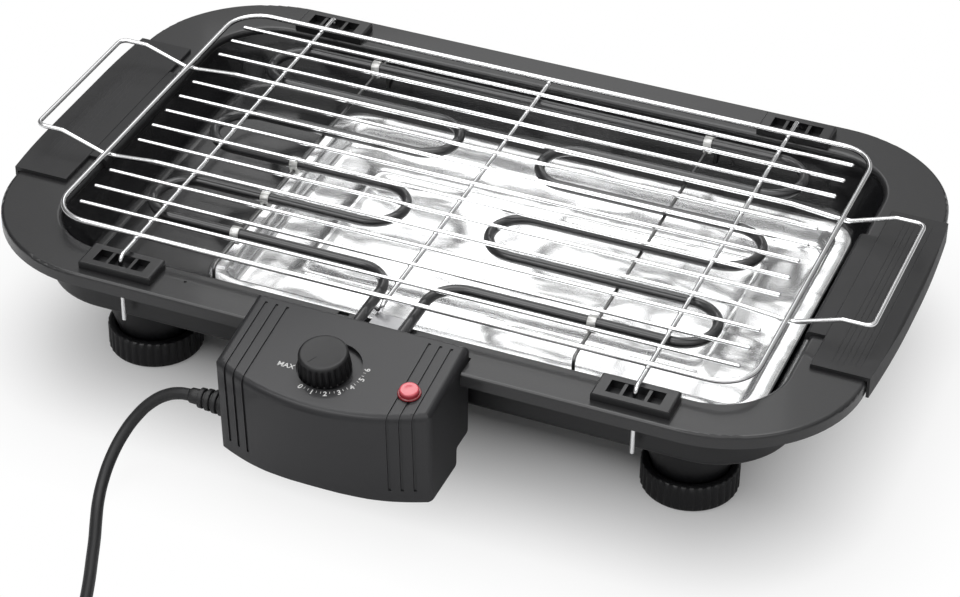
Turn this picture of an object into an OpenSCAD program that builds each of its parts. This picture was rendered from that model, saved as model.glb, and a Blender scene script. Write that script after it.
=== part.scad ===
/* [Frame] */
// Length of the frame plate
frame_len = 520; // [500:1:560]
// Depth of the frame plate
frame_dep = 323; // [316:1:350]
// Radius of the frame's outer corners
frame_r = 81; // [66:1:95]
// Height of the frame's top face above the table
frame_z = 91.5; // [88:0.5:105]
// Height of the edge folded down all round
skirt_h = 8; // [6:0.5:10]
// Rounding of the frame's upper edge
edge_r = 2; // [1.6:0.1:3]
// Thickness of the frame's and the pan's sheet
sheet = 1.2; // [0.9:0.1:1.4]
// Diameter of the small drain hole in the frame
dot_d = 2; // [1:0.5:4]

/* [Pan] */
// Width of the frame's rim at its short ends
rim_x = 41; // [37:0.5:46]
// Width of the frame's rim along its long sides
rim_y = 29.5; // [28:0.5:33]
// Corner radius of the opening
open_r = 40; // [36:1:48]
// Radius of the lip rolled down round the opening
lip_r = 3; // [2.6:0.1:3.6]
// Depth of the pan's floor below the frame's top face
pan_depth = 33; // [30:0.5:36]
// How far the pan's walls lean in on the way down
pan_lean = 15; // [10:0.5:18]
// Bend radius between the pan's walls and floor
pan_bend = 6; // [3:0.5:9]

/* [Housing] */
// How far the housing's wall stands outside the opening
housing_out = 8; // [7:0.5:9]
// Wall thickness of the housing
housing_wall = 2.2; // [1.8:0.1:3]
// Depth of the housing's underside below the frame's top face
housing_depth = 38.5; // [37:0.5:42]
// Thread diameter of the studs that hold the housing to the pan
stud_d = 4; // [3:0.5:5]

/* [Feet] */
// Distance of the feet from the opening's ends
foot_in_x = 51; // [46:1:70]
// Distance of the feet from the opening's long sides
foot_in_y = 41; // [38:1:60]
// Diameter of a foot over its ribs
foot_d = 56.4; // [50:0.2:60]
// Height of a foot
foot_h = 18; // [15:0.5:22]
// Number of ribs round a foot
foot_ribs = 40; // [24:1:48]
// Diameter of the foot's threaded stud
foot_stud_d = 6; // [5:0.5:8]
// Radius of a foot's tower where it leaves the housing
tower_top_r = 33; // [30:0.5:35]
// Radius of a foot's tower at its lower end
tower_end_r = 21; // [19:0.5:22]

/* [Handle pads] */
// Length of a handle pad along the frame's short side
pad_len = 162; // [140:1:166]
// Length of the tongue over the opening's edge
tongue_len = 104; // [80:1:130]
// Width of a pad on top of the frame
pad_w = 32; // [26:1:34]
// Thickness of a pad on top of the frame
pad_t = 2.5; // [2:0.1:4]
// How far a pad's outer face bulges
pad_bulge = 3.5; // [2:0.5:6]

/* [Rack] */
// Distance of the rack's frame wire inside the opening's ends
rack_in_x = 9; // [7:0.5:13]
// Distance of the rack's frame wire inside the opening's long sides
rack_in_y = 6.7; // [5:0.1:10]
// Corner radius of the rack's frame wire
rack_r = 22; // [16:1:40]
// Shift of the rack along the frame
rack_x = -3; // [-4:0.5:4]
// Shift of the rack across the frame
rack_y = -1.5; // [-1.5:0.5:0]
// Thickness of the rack's frame wire
rack_wire = 3.2; // [2.8:0.1:3.6]
// Thickness of the thin rods
rod_wire = 2.4; // [2:0.1:2.8]
// Thickness of the handle wire
loop_wire = 2.8; // [2.4:0.1:3.2]
// Thickness of the cross wires
cross_wire = 2.8; // [2.4:0.1:3]
// Depth that crossing wires sink into each other at a weld
weld = 0.3; // [0.2:0.05:0.4]
// Number of rods, two of which belong to the handle wire
rods = 13; // [11:2:15]
// Distance of the rods' ends inside the rack's ends
rod_in = 11; // [8:0.5:20]
// Distance of the outer cross wires from the middle
cross_x = 154; // [145:1:160]
// Distance of the rack's pins outside the opening's long sides
pin_out = 13; // [12.5:0.1:13.5]
// How far a pin reaches below the frame's top face
pin_drop = 35; // [20:1:45]
// Height of the carrying handle above the frame's top face
handle_h = 17.5; // [14:0.5:30]
// Distance of the carrying handles inside the frame's ends
handle_in = 2.5; // [-2:0.5:12]

/* [Brackets] */
// Length of a rack bracket
bracket_len = 45; // [40:1:55]
// Width of a rack bracket
bracket_w = 19.5; // [18:0.5:20]
// Height of a rack bracket
bracket_h = 5; // [4:0.5:6]
// Length of the window in a bracket
window_len = 31; // [28:1:34]
// Width of the window in a bracket
window_w = 11; // [8:0.5:12]

/* [Heating element] */
// Diameter of the heating tube
tube_d = 6.3; // [5.5:0.1:6.6]
// Number of rows of the tube, spread evenly between the first and the last
rows = 6; // [6:2:6]
// Position of the first row behind the frame's front edge
row_front = 68.5; // [66:0.5:76]
// Position of the last row in front of the frame's back edge
row_back = 55.25; // [52:0.25:66]
// Distance of the outer bends' centres inside the opening's ends
bend_in = 67; // [61:1:79]
// Distance of the inner bends' centres from the middle
inner_x = 47.25; // [45:0.25:56]
// Shift of the inner bends to the right
inner_shift = -4.75; // [-5:0.25:0]
// Distance of the two legs from their middle
leg_x = 13.5; // [12:0.5:16]
// Shift of the legs to the right
leg_shift = 1.5; // [-2:0.5:2]
// Radius of the bend from a leg into the first row
leg_bend = 16; // [12:1:18]
// Diameter of the support wires
support_wire = 2; // [1.6:0.1:2.4]

/* [Drip tray] */
// Distance of the tray's left end inside the opening
tray_left = 91; // [12:1:120]
// Distance of the tray's right end inside the opening
tray_right = 11; // [10:0.5:40]
// Distance of the tray's front inside the opening
tray_front = 20; // [12:1:40]
// Distance of the tray's back inside the opening
tray_back = 40; // [12:1:60]
// Height of the tray
tray_h = 11.2; // [9:0.2:14]
// Width of the tray's flat rim
tray_rim = 10; // [6:0.5:12]
// Thickness of the tray's sheet
tray_t = 0.7; // [0.5:0.1:1]

/* [Control box] */
// Width of the control box
box_w = 126.5; // [118:0.5:134]
// Position of the control box along the frame
box_x = -7.75; // [-10:0.25:-5]
// Distance of the box's rear wall in front of the opening
box_back = 15; // [14:0.5:18]
// Length of the box's side walls
box_dep = 55; // [50:0.5:60]
// How far the front bows out in its middle
box_bow = 15.5; // [10:0.5:18]
// Height of the box's rear edge above the frame's top face
box_up = 8.5; // [8.3:0.1:12]
// Slope of the box's top in degrees
box_slope = 9.26; // [6:0.02:11]
// Height of the box's underside above the table
box_foot = 29.5; // [24:0.5:34]
// Height of the step in the box's rear part
box_step = 12; // [8:0.5:16]
// Wall thickness of the box
box_wall = 2.2; // [1.8:0.1:2.3]
// Depth of the decorative grooves
groove_t = 0.8; // [0.4:0.1:1.2]

/* [Knob and lamp] */
// Diameter of the knob
knob_d = 27.6; // [24:0.2:30]
// Height of the knob above the box's top
knob_h = 11.5; // [8:0.5:14]
// Diameter of the knob's round recess
dial_d = 36.2; // [36:0.2:40]
// Diameter of the thermostat's shaft
shaft_d = 6; // [5:0.5:7]
// Radial clearance of the turning shaft
run_gap = 0.05; // [0.03:0.01:0.09]
// Diameter of the lamp's lens
lens_d = 13; // [11:0.5:15]

/* [Clearances] */
// Clearance between parts that lift out and what they rest on
rest_gap = 0.3; // [0.25:0.05:0.5]
// Clearance round the control box in the frame's notch
notch_gap = 1; // [0.5:0.1:1.5]
// Radial clearance round the rack's pins
pin_gap = 1.2; // [0.6:0.1:1.3]

/* [Cord] */
// Diameter of the cord
cord_d = 7; // [6:0.1:7.4]
// Length of the strain relief outside the box
relief_len = 22; // [20:0.5:22]

/* [Hidden] */
$fn = 48;

dark = "#3c3c3f";
black = "#161617";
steel = "#d9dadc";

hx = frame_len/2;
hy = frame_dep/2;
open_len = frame_len - 2*rim_x;
open_dep = frame_dep - 2*rim_y;
ox = open_len/2;
oy = open_dep/2;
// Middle of the opening's corner rounding, shared by pan and housing
cx = ox - open_r;
cy = oy - open_r;
plate_z = frame_z - sheet;
flange_z = plate_z - sheet;
pan_z = frame_z - pan_depth;
house_z = frame_z - housing_depth;
foot_x = ox - foot_in_x;
foot_y = oy - foot_in_y;
// The part's origin is midway between the box's front and the frame's back
front_y = oy + box_back + box_dep + box_bow;
mid_y = (front_y - hy)/2;

// Heights of the rack's wires, from the tube's top upwards
tube_z = frame_z + rest_gap + 0.05 + tube_d/2;
cross_z = tube_z + tube_d/2 + rest_gap + 0.05 + cross_wire/2;
rod_z = cross_z + cross_wire/2 + rod_wire/2 - weld;
loop_z = cross_z + cross_wire/2 + loop_wire/2 - weld;
rack_z = cross_z + cross_wire/2 + rack_wire/2 - weld;
dip_z = rack_z - rack_wire/2 - loop_wire/2 + weld;
bail_z = frame_z + handle_h;
rack_len = open_len - 2*rack_in_x;
rack_dep = open_dep - 2*rack_in_y;
rod_len = rack_len - 2*rod_in;
rod_pitch = rack_dep/(rods + 1);
mid_rod = (rods - 1)/2;
handle_rod = 3;
pin_y = oy + pin_out;
handle_x = hx - handle_in;

bend_x = ox - bend_in;
row_pitch = (frame_dep - row_front - row_back)/(rows - 1);

tray_len = open_len - tray_left - tray_right;
tray_dep = open_dep - tray_front - tray_back;
tray_x = (tray_left - tray_right)/2;
tray_y = (tray_front - tray_back)/2;

box_l = box_x - box_w/2;
box_r = box_x + box_w/2;
box_y = -oy - box_back;
box_z = frame_z + box_up;
side_y = box_y - box_dep;
knob_x = box_x - 4.25;
knob_y = side_y + 15;
lens_x = box_x + 46.75;
lens_y = side_y + 12;
pocket = 2.6;
dial_x = knob_x + 2;
dial_y = knob_y + 1.6;
knob_foot = knob_d/2 + 1.1;
relief_z = frame_z - 39.5;
relief_y = side_y + 12;
pad_x = hx + 0.3;
pad_out = pad_x + 5.2;
bracket_y = pin_y - 1.2;

// ---- shared shapes ----

// Moves the assembly from the frame's middle to the part's origin
module place() {
    translate([0, mid_y, 0]) children();
}

// Rounded rectangle given by its half sizes
module rr(a, b, r) {
    square([2*a, 2*(b - r)], center = true);
    square([2*(a - r), 2*b], center = true);
    for (sx = [-1, 1], sy = [-1, 1]) translate([sx*(a - r), sy*(b - r)]) circle(r);
}

// Carries a flat profile round a rounded rectangle. The profile's x runs out
// from the middle of the corner rounding and its y runs up.
module round_frame(a, b) {
    for (i = [0:3]) {
        p = i % 2 == 0 ? a : b;
        q = i % 2 == 0 ? b : a;
        rotate([0, 0, 90*i]) translate([p, q, 0]) {
            rotate_extrude(angle = 90) children();
            rotate([90, 0, 0]) linear_extrude(2*q) children();
        }
    }
}

function unit(v) = v/norm(v);

// Points of a polygon whose corners [x, y, r] are rounded with n steps
function soft(p, n = 6) = [for (i = [0:len(p) - 1])
    let (m = len(p), c = [p[i].x, p[i].y], r = p[i].z,
         a = unit([p[(i + m - 1) % m].x, p[(i + m - 1) % m].y] - c),
         b = unit([p[(i + 1) % m].x, p[(i + 1) % m].y] - c))
    each r == 0 ? [c] :
        let (half = acos(a*b)/2, o = c + unit(a + b)*r/sin(half),
             s = c + a*r/tan(half) - o, e = c + b*r/tan(half) - o,
             a0 = atan2(s.y, s.x), d0 = atan2(e.y, e.x) - a0,
             d = d0 > 180 ? d0 - 360 : d0 < -180 ? d0 + 360 : d0)
        [for (k = [0:n]) o + r*[cos(a0 + d*k/n), sin(a0 + d*k/n)]]];

// A frame of axes put at point o
module axes(x, y, z, o) {
    multmatrix([[x.x, y.x, z.x, o.x], [x.y, y.y, z.y, o.y], [x.z, y.z, z.z, o.z], [0, 0, 0, 1]])
        children();
}

// Straight round rod from a to b
module stick(a, b, r) {
    w = unit(b - a);
    s = abs(w.z) > 0.9 ? [1, 0, 0] : [0, 0, 1];
    x = unit(cross(s, w));
    axes(x, cross(w, x), w, a) cylinder(r = r, h = norm(b - a));
}

function turn(a, b, c) = acos(max(-1, min(1, unit(b - a)*unit(c - b))));

// Quarter, half or other bend of a rod in the corner b
module elbow(a, b, c, r, rb) {
    t = turn(a, b, c);
    u = unit(b - a);
    v = unit(c - b);
    o = b + unit(v - u)*rb/cos(t/2);
    w = unit(cross(u, v));
    axes(unit(b - u*rb*tan(t/2) - o), u, w, o)
        rotate_extrude(angle = t) translate([rb, 0]) circle(r);
}

// Round bar along points p, bent to radius rb at each corner
module bar(p, r, rb) {
    n = len(p);
    cut = [for (i = [0:n - 1]) i == 0 || i == n - 1 ? 0 :
        rb*tan(turn(p[i - 1], p[i], p[i + 1])/2)];
    for (i = [0:n - 2]) {
        u = unit(p[i + 1] - p[i]);
        if (norm(p[i + 1] - p[i]) - cut[i] - cut[i + 1] > 0.02)
            stick(p[i] + u*cut[i], p[i + 1] - u*cut[i + 1], r);
    }
    for (i = [1:n - 2]) elbow(p[i - 1], p[i], p[i + 1], r, rb);
}

// Points p with each corner rounded to radius rb by k short steps
function rounded(p, rb, k, closed = false) = [for (i = [0:len(p) - 1])
    let (n = len(p), a = p[(i + n - 1) % n], c = p[(i + 1) % n])
    each !closed && (i == 0 || i == n - 1) ? [p[i]] :
        let (t = turn(a, p[i], c), u = unit(p[i] - a), v = unit(c - p[i]),
             o = p[i] + unit(v - u)*rb/cos(t/2), e = unit(p[i] - u*rb*tan(t/2) - o))
        [for (j = [0:k]) o + rb*(cos(t*j/k)*e + sin(t*j/k)*u)]];

// Bendy tube swept along points p with a number of flat sides
sides = 10;
function ring(p, i, r, up, closed) =
    let (m = len(p), q = closed ? p[(i + m - 1) % m] : p[max(i - 1, 0)],
         t = unit((closed ? p[(i + 1) % m] : p[min(i + 1, m - 1)]) - q),
         n = unit(cross(t, up)), b = cross(n, t))
    [for (k = [0:sides - 1]) p[i] + r*(cos(360*k/sides)*n + sin(360*k/sides)*b)];
module tube(p, r, up = [0, 0, 1], closed = false) {
    m = len(p);
    polyhedron(
        points = [for (i = [0:m - 1]) each ring(p, i, r, up, closed)],
        faces = concat(
            closed ? [] : [[for (k = [0:sides - 1]) k],
                [for (k = [sides - 1:-1:0]) (m - 1)*sides + k]],
            [for (i = [0:closed ? m - 1 : m - 2], k = [0:sides - 1])
                let (j = (k + 1) % sides, a = i*sides, b = (i + 1) % m*sides)
                [a + j, a + k, b + k, b + j]]));
}

// Height of the control box's sloping top at y
function top_z(y) = box_z - tan(box_slope)*(box_y - y);

// Puts something square on the control box's sloping top
module on_top(x, y) {
    translate([x, y, top_z(y)]) rotate([box_slope, 0, 0]) children();
}

// ---- frame, pan and housing ----

module frame() color(dark) place() difference() {
    union() {
        translate([0, 0, plate_z]) linear_extrude(sheet) difference() {
            rr(hx - edge_r, hy - edge_r, frame_r - edge_r);
            rr(ox + lip_r, oy + lip_r, open_r + lip_r);
        }
        round_frame(hx - frame_r, hy - frame_r) {
            translate([frame_r - edge_r, frame_z - edge_r]) intersection() {
                difference() {
                    circle(edge_r);
                    circle(edge_r - sheet);
                }
                square(edge_r + 1);
            }
            translate([frame_r - edge_r - 1, plate_z]) square([1, sheet]);
            translate([frame_r - sheet, frame_z - skirt_h]) square([sheet, skirt_h - edge_r]);
        }
        round_frame(cx, cy) {
            translate([open_r + lip_r, frame_z - lip_r]) intersection() {
                difference() {
                    circle(lip_r);
                    circle(lip_r - sheet);
                }
                mirror([1, 0]) square(lip_r + 1);
            }
            translate([open_r + lip_r, plate_z]) square([1, sheet]);
            translate([open_r, frame_z - lip_r - 1]) square([sheet, 1]);
        }
    }
    // Notch that the control box drops into
    translate([box_l - notch_gap, -hy - 1, frame_z - skirt_h - 1])
        cube([box_w + 2*notch_gap, hy + box_y + notch_gap + 1, skirt_h + 2]);
    // Drain hole and locating slot
    translate([-0.454*open_len/2 - 18.6, -oy - 11.5, plate_z - 1]) cylinder(d = dot_d, h = sheet + 2);
    translate([box_x - 19.5, box_y + 9.5, plate_z - 1]) cube([6.5, 3.2, sheet + 2]);
    for (sx = [-1, 1], sy = [-1, 1]) {
        translate([rack_x + sx*cross_x, rack_y + sy*pin_y, plate_z - 1])
            cylinder(r = cross_wire/2 + pin_gap, h = sheet + 2);
        for (k = [-1, 1]) bracket_peg(sx, sy, k) cylinder(r = peg_r + 0.1, h = sheet + 2);
    }
    for (sx = [-1, 1], k = [-1:1]) pad_peg(sx, k) cylinder(r = peg_r + 0.1, h = sheet + 2);
}

// Places of the moulded pegs that hold brackets and pads
peg_r = 1.5;
module bracket_peg(sx, sy, k) {
    translate([rack_x + sx*cross_x + k*(window_len/2 + (bracket_len - window_len)/4),
        rack_y + sy*(bracket_y + 4), plate_z - 1]) children();
}
module pad_peg(sx, k) {
    translate([sx*(hx - pad_w/2), k*(pad_len/2 - 21), plate_z - 1]) children();
}

// Pan wall line: lean angle, bend centre and the band's two faces
wall_top = [open_r + 0.4, frame_z - lip_r - 1.9];
wall_foot = [open_r - pan_lean, pan_z];
lean = atan2(wall_top.y - wall_foot.y, wall_top.x - wall_foot.x);
bend_o = [wall_foot.x - pan_bend*tan(lean/2), pan_z + pan_bend];
function pan_arc(r) = [for (k = [0:6]) bend_o + r*[cos(lean*k/6 - 90), sin(lean*k/6 - 90)]];
neck = open_r + sheet + 0.5;
// Inner face of the pan's wall at height z
function wall_u(z) = wall_foot.x + (z - pan_z)/tan(lean);

module pan() color(black) place() difference() {
    union() {
        translate([0, 0, pan_z - sheet]) linear_extrude(sheet)
            rr(cx + bend_o.x, cy + bend_o.x, bend_o.x);
        round_frame(cx, cy) polygon(concat(
            pan_arc(pan_bend),
            [wall_top, [neck, wall_top.y + 1.3], [neck, flange_z + 0.2],
             [neck + sheet + 0.5, plate_z], [open_r + housing_out, plate_z],
             [open_r + housing_out, flange_z], [neck + sheet, flange_z],
             [neck + sheet, wall_top.y + 0.9],
             wall_top + sheet*[sin(lean), -cos(lean)] + [0.1, 0.2]],
            [for (k = [6:-1:0]) pan_arc(pan_bend + sheet)[k]]));
        for (sx = [-1, 1], sy = [-1, 1]) pan_stud(sx, sy)
            cylinder(d = stud_d, h = pan_z - sheet - house_z + 7.5);
    }
}

module pan_stud(sx, sy) {
    translate([sx*(foot_x - 58), sy*(foot_y - 31), house_z - 7]) children();
}

module housing() color(black) place() difference() {
    union() {
        round_frame(cx, cy) translate([open_r + housing_out - housing_wall, house_z + 4])
            square([housing_wall, flange_z - house_z - 4]);
        round_frame(cx, cy) translate([open_r + housing_out - 4, house_z + 4]) intersection() {
            difference() {
                circle(4);
                circle(4 - housing_wall);
            }
            mirror([0, 1]) square(5);
        }
        translate([0, 0, house_z]) linear_extrude(housing_wall)
            rr(ox + housing_out - 4, oy + housing_out - 4, open_r + housing_out - 4);
        for (sx = [-1, 1], sy = [-1, 1]) translate([sx*foot_x, sy*foot_y, 0])
            tower(0, tower_end_z, house_z + 0.5);
    }
    for (sx = [-1, 1], sy = [-1, 1]) {
        translate([sx*foot_x, sy*foot_y, 0]) difference() {
            tower(housing_wall + 0.3, tower_end_z + 2.6, house_z + housing_wall + 1);
            cylinder(r = foot_stud_d/2 + 5, h = tower_end_z + insert_h);
        }
        translate([sx*foot_x, sy*foot_y, tower_end_z - 1])
            cylinder(r = foot_stud_d/2 + 2.4, h = house_z);
        pan_stud(sx, sy) cylinder(d = stud_d + 0.3, h = 12);
    }
    for (k = [-4:4], sy = [-1, 1]) translate([18*k - 3, sy*22 - 14, house_z - 1])
        cube([6, 28, housing_wall + 2]);
}

// Tapered tower over a foot; d makes the hollow inside it
tower_end_z = foot_h - 6;
module tower(d, z0, z1) {
    slope = (tower_top_r - tower_end_r)/(house_z - tower_end_z);
    translate([0, 0, z0]) cylinder(r1 = tower_end_r - d + slope*(z0 - tower_end_z),
        r2 = tower_end_r - d + slope*(z1 - tower_end_z), h = z1 - z0);
}

module pan_nuts() color(steel) place() for (sx = [-1, 1], sy = [-1, 1]) pan_stud(sx, sy)
    difference() {
        union() {
            translate([0, 0, 7 - 0.8]) cylinder(r = stud_d*1.2, h = 0.8);
            translate([0, 0, 7 - 4]) cylinder(r = stud_d, h = 3.2, $fn = 6);
        }
        cylinder(d = stud_d, h = 9);
    }

// ---- pads, brackets and feet ----

// Handle pad on the right; its tongue rolls over the opening's lip
module pad() {
    in_x = hx - pad_w;
    intersection() {
        translate([0, pad_len/2, 0]) rotate([90, 0, 0]) linear_extrude(pad_len)
            polygon(soft([[in_x, frame_z, 0], [in_x, frame_z + pad_t, 0.8],
                [pad_out, frame_z + pad_t, 2.5], [pad_out, frame_z - 10.5, 1],
                [pad_x, frame_z - 10.5, 0], [pad_x, frame_z, 0]]));
        translate([pad_out - pad_arc, 0, 0]) cylinder(r = pad_arc, h = frame_z + 20, $fn = 720);
    }
    translate([0, tongue_len/2, 0]) rotate([90, 0, 0]) linear_extrude(tongue_len)
        polygon(soft([[in_x + 0.5, frame_z, 0], [ox, frame_z, lip_r], [ox, frame_z - lip_r - 1, 0],
            [ox - 2.2, frame_z - lip_r - 1, 0.8], [ox - 2.2, frame_z + pad_t - 0.5, 3],
            [in_x + 0.5, frame_z + pad_t - 0.5, 0]]));
}
pad_arc = (pad_len*pad_len/4 + pad_bulge*pad_bulge)/(2*pad_bulge);

module pad_left() color(dark) place() {
    mirror([1, 0, 0]) pad();
    for (k = [-1:1]) pad_peg(-1, k) translate([0, 0, -2]) cylinder(r = peg_r, h = sheet + 3);
}
module pad_right() color(dark) place() {
    pad();
    for (k = [-1:1]) pad_peg(1, k) translate([0, 0, -2]) cylinder(r = peg_r, h = sheet + 3);
}
module washer() {
    translate([0, 0, 0.2]) difference() {
        cylinder(r = peg_r + 2, h = 0.8);
        translate([0, 0, -1]) cylinder(r = peg_r, h = 3);
    }
}
module pad_washers() color(steel) place()
    for (sx = [-1, 1], k = [-1:1]) pad_peg(sx, k) washer();

// Rack bracket: a raised block whose window is split in three by two ribs
module bracket(sx, sy) color(black) place() {
    translate([rack_x + sx*cross_x, rack_y + sy*bracket_y, frame_z]) {
        difference() {
            translate([0, bracket_w/2, 0]) rotate([90, 0, 0]) linear_extrude(bracket_w)
                polygon(soft([[-bracket_len/2, 0, 0], [-bracket_len/2, bracket_h, 1.5],
                    [bracket_len/2, bracket_h, 1.5], [bracket_len/2, 0, 0]]));
            translate([-window_len/2, -window_w/2, -1]) cube([window_len, window_w, bracket_h + 2]);
        }
        for (k = [-1, 1]) translate([k*7 - 1, -window_w/2 - 0.1, 0])
            cube([2, window_w + 0.2, bracket_h - 0.4]);
    }
    for (k = [-1, 1]) bracket_peg(sx, sy, k) translate([0, 0, -2]) cylinder(r = peg_r, h = sheet + 3);
}
module bracket_fl() bracket(-1, -1);
module bracket_fr() bracket(1, -1);
module bracket_bl() bracket(-1, 1);
module bracket_br() bracket(1, 1);
module bracket_washers() color(steel) place()
    for (sx = [-1, 1], sy = [-1, 1], k = [-1, 1]) bracket_peg(sx, sy, k) washer();

insert_h = 20;
module foot_insert(sx, sy) color("#b08d4a") place()
    translate([sx*foot_x, sy*foot_y, tower_end_z]) difference() {
        union() {
            cylinder(r = foot_stud_d/2 + 2.4, h = insert_h);
            translate([0, 0, insert_h]) cylinder(r = foot_stud_d/2 + 3.6, h = 1);
        }
        translate([0, 0, -1]) cylinder(r = foot_stud_d/2 + run_gap, h = insert_h + 3);
    }
module foot_insert_fl() foot_insert(-1, -1);
module foot_insert_fr() foot_insert(1, -1);
module foot_insert_bl() foot_insert(-1, 1);
module foot_insert_br() foot_insert(1, 1);

// Screw foot: a ribbed cup round the tower's end
module foot(sx, sy) color(black) place() translate([sx*foot_x, sy*foot_y, 0]) difference() {
    union() {
        translate([0, 0, 1.5]) linear_extrude(foot_h - 3) polygon([for (i = [0:foot_ribs - 1])
            each [for (k = [0:3]) (foot_d/2 - (k < 2 ? 0 : 0.9))
                *[cos((i + 0.25*k)*360/foot_ribs), sin((i + 0.25*k)*360/foot_ribs)]]]);
        cylinder(r1 = foot_d/2 - 2.4, r2 = foot_d/2 - 1.2, h = 1.5);
        translate([0, 0, foot_h - 1.5]) cylinder(r1 = foot_d/2 - 1.2, r2 = foot_d/2 - 2.4, h = 1.5);
    }
    translate([0, 0, tower_end_z - 3]) cylinder(r = tower_end_r + 2.6, h = foot_h);
    translate([0, 0, 2]) cylinder(r = foot_stud_d/2, h = foot_h);
    translate([0, 0, 2]) cylinder(r = foot_stud_d/2 + 2.5, h = 3.5, $fn = 6);
}
module foot_fl() foot(-1, -1);
module foot_fr() foot(1, -1);
module foot_bl() foot(-1, 1);
module foot_br() foot(1, 1);

// Hexagon-headed stud moulded into a foot
module foot_stud(sx, sy) color(steel) place() translate([sx*foot_x, sy*foot_y, 2]) {
    cylinder(r = foot_stud_d/2 + 2.5, h = 3.5, $fn = 6);
    cylinder(r = foot_stud_d/2, h = tower_end_z + insert_h - 4);
}
module foot_stud_fl() foot_stud(-1, -1);
module foot_stud_fr() foot_stud(1, -1);
module foot_stud_bl() foot_stud(-1, 1);
module foot_stud_br() foot_stud(1, 1);

// ---- drip tray ----

tray_lean = 5;
module drip_tray() color("#c9ccd0") place() translate([tray_x, tray_y, pan_z + rest_gap]) {
    r = 20;
    fx = tray_len/2 - tray_rim - tray_lean;
    fy = tray_dep/2 - tray_rim - tray_lean;
    fr = r - tray_rim - tray_lean;
    linear_extrude(tray_t) rr(fx, fy, fr);
    round_frame(fx - fr, fy - fr) {
        polygon([[fr, 0], [fr + tray_lean, tray_h - tray_t], [r, tray_h - tray_t], [r, tray_h],
            [fr + tray_lean - tray_t, tray_h], [fr - tray_t, tray_t]]);
        polygon([[r - tray_t, tray_h - 2], [r, tray_h - 2], [r, tray_h], [r - tray_t, tray_h]]);
    }
    // Raised beads pressed into the floor
    for (s = [-1, 1]) translate([s*fx/2, 0, tray_t]) round_frame(fx/2 - 34, fy - 34)
        polygon([[14, 0], [16, 1.2], [18, 1.2], [20, 0]]);
}

// ---- heating element ----

function row_y(i) = -hy + row_front + i*row_pitch;
half_p = row_pitch/2;

// Right half of the tube's line, from the box to the last row's middle
function half_line(s, xl, xi) = concat(
    [[xl, box_y - box_wall, tube_z], [xl, row_y(0), tube_z]],
    [for (i = [0:rows - 2]) each
        let (x = i % 2 == 0 ? s*bend_x + s*half_p : xi - s*half_p)
        [[x, row_y(i), tube_z], [x, row_y(i + 1), tube_z]]],
    [[0, row_y(rows - 1), tube_z]]);

module half_tube(s, xl, xi) {
    p = half_line(s, xl, xi);
    stick(p[0], p[1] - [0, leg_bend, 0], tube_d/2);
    elbow(p[0], p[1], p[2], tube_d/2, leg_bend);
    bar(concat([p[1] + [s*leg_bend, 0, 0]], [for (i = [2:len(p) - 1]) p[i]]), tube_d/2, half_p);
}

module element() color("#1c1c1e") place() {
    half_tube(1, leg_shift + leg_x, inner_shift + inner_x);
    half_tube(-1, leg_shift - leg_x, inner_shift - inner_x);
}

// Terminal pins that leave the tube's ends inside the box
pin_r = 1.5;
module element_pins() color(steel) place() for (s = [-1, 1]) {
    x = leg_shift + s*leg_x;
    bar([[x, box_y - box_wall, tube_z], [x, box_y - 7.5, tube_z], [x, box_y - 7.5, block_z]],
        pin_r, 2.5);
}

// Wire that carries the tube, its ends bent down onto the pan's walls
support_z = tube_z - tube_d/2 - support_wire/2;
support_left_x = -111;
support_right_x = 107;
function support_x(s) = s < 0 ? support_left_x : support_right_x;
support_foot = 12.5;
support_end_z = pan_z + support_foot;
support_y = cy + wall_u(support_end_z) - support_wire/2 - 0.4;
module support(s) color(steel) place() {
    x = support_x(s);
    bar([[x, -support_y, support_end_z], [x, -support_y, support_z],
        [x, support_y, support_z], [x, support_y, support_end_z]], support_wire/2, 4);
}
module support_left() support(-1);
module support_right() support(1);

// Clip that ties the tube to a support wire
clip_w = 5;
module clip(x, i) translate([x, row_y(i), 0]) difference() {
    union() {
        translate([-clip_w/2, 0, tube_z]) rotate([0, 90, 0])
            cylinder(r = tube_d/2 + 0.8, h = clip_w);
        translate([-clip_w/2, -clip_w/2, support_z - support_wire/2 - 0.9])
            cube([clip_w, clip_w, support_wire + 2]);
    }
    translate([-clip_w, 0, tube_z]) rotate([0, 90, 0]) cylinder(r = tube_d/2, h = 2*clip_w);
    translate([0, clip_w, support_z]) rotate([90, 0, 0])
        cylinder(r = support_wire/2, h = 2*clip_w);
}
module clips_left() color("#e8e8e6") place() for (i = [0, 1, 2, rows - 1]) clip(support_x(-1), i);
module clips_right() color("#e8e8e6") place() for (i = [0, rows - 1]) clip(support_x(1), i);

// Steel tongue that hooks the box over the frame's strip
tongue_w = 17;
plate_t = 1;
module mount_plate() color(steel) place() translate([leg_shift - tongue_w/2, 0, 0])
    rotate([0, 90, 0]) rotate([0, 0, 90]) linear_extrude(tongue_w) polygon(soft([
        [box_y - 9, frame_z + rest_gap, 0], [hook_y - plate_t, frame_z + rest_gap, 1],
        [hook_y - plate_t, frame_z - 7.5, 0], [hook_y, frame_z - 7.5, 0],
        [hook_y, frame_z + rest_gap + plate_t, 2], [box_y - 9, frame_z + rest_gap + plate_t, 0]]));
hook_y = -oy + 4.5;

// ---- control box ----

bow_r = (box_w*box_w/4 + box_bow*box_bow)/(2*box_bow);
bow_slant = box_bow/cos(box_slope);
arc_r = (box_w*box_w/4 + bow_slant*bow_slant)/(2*bow_slant);
front_lean = 4.4;
flare = box_slope - front_lean;
bow_y = arc_r*cos(box_slope) - front_y;

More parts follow.
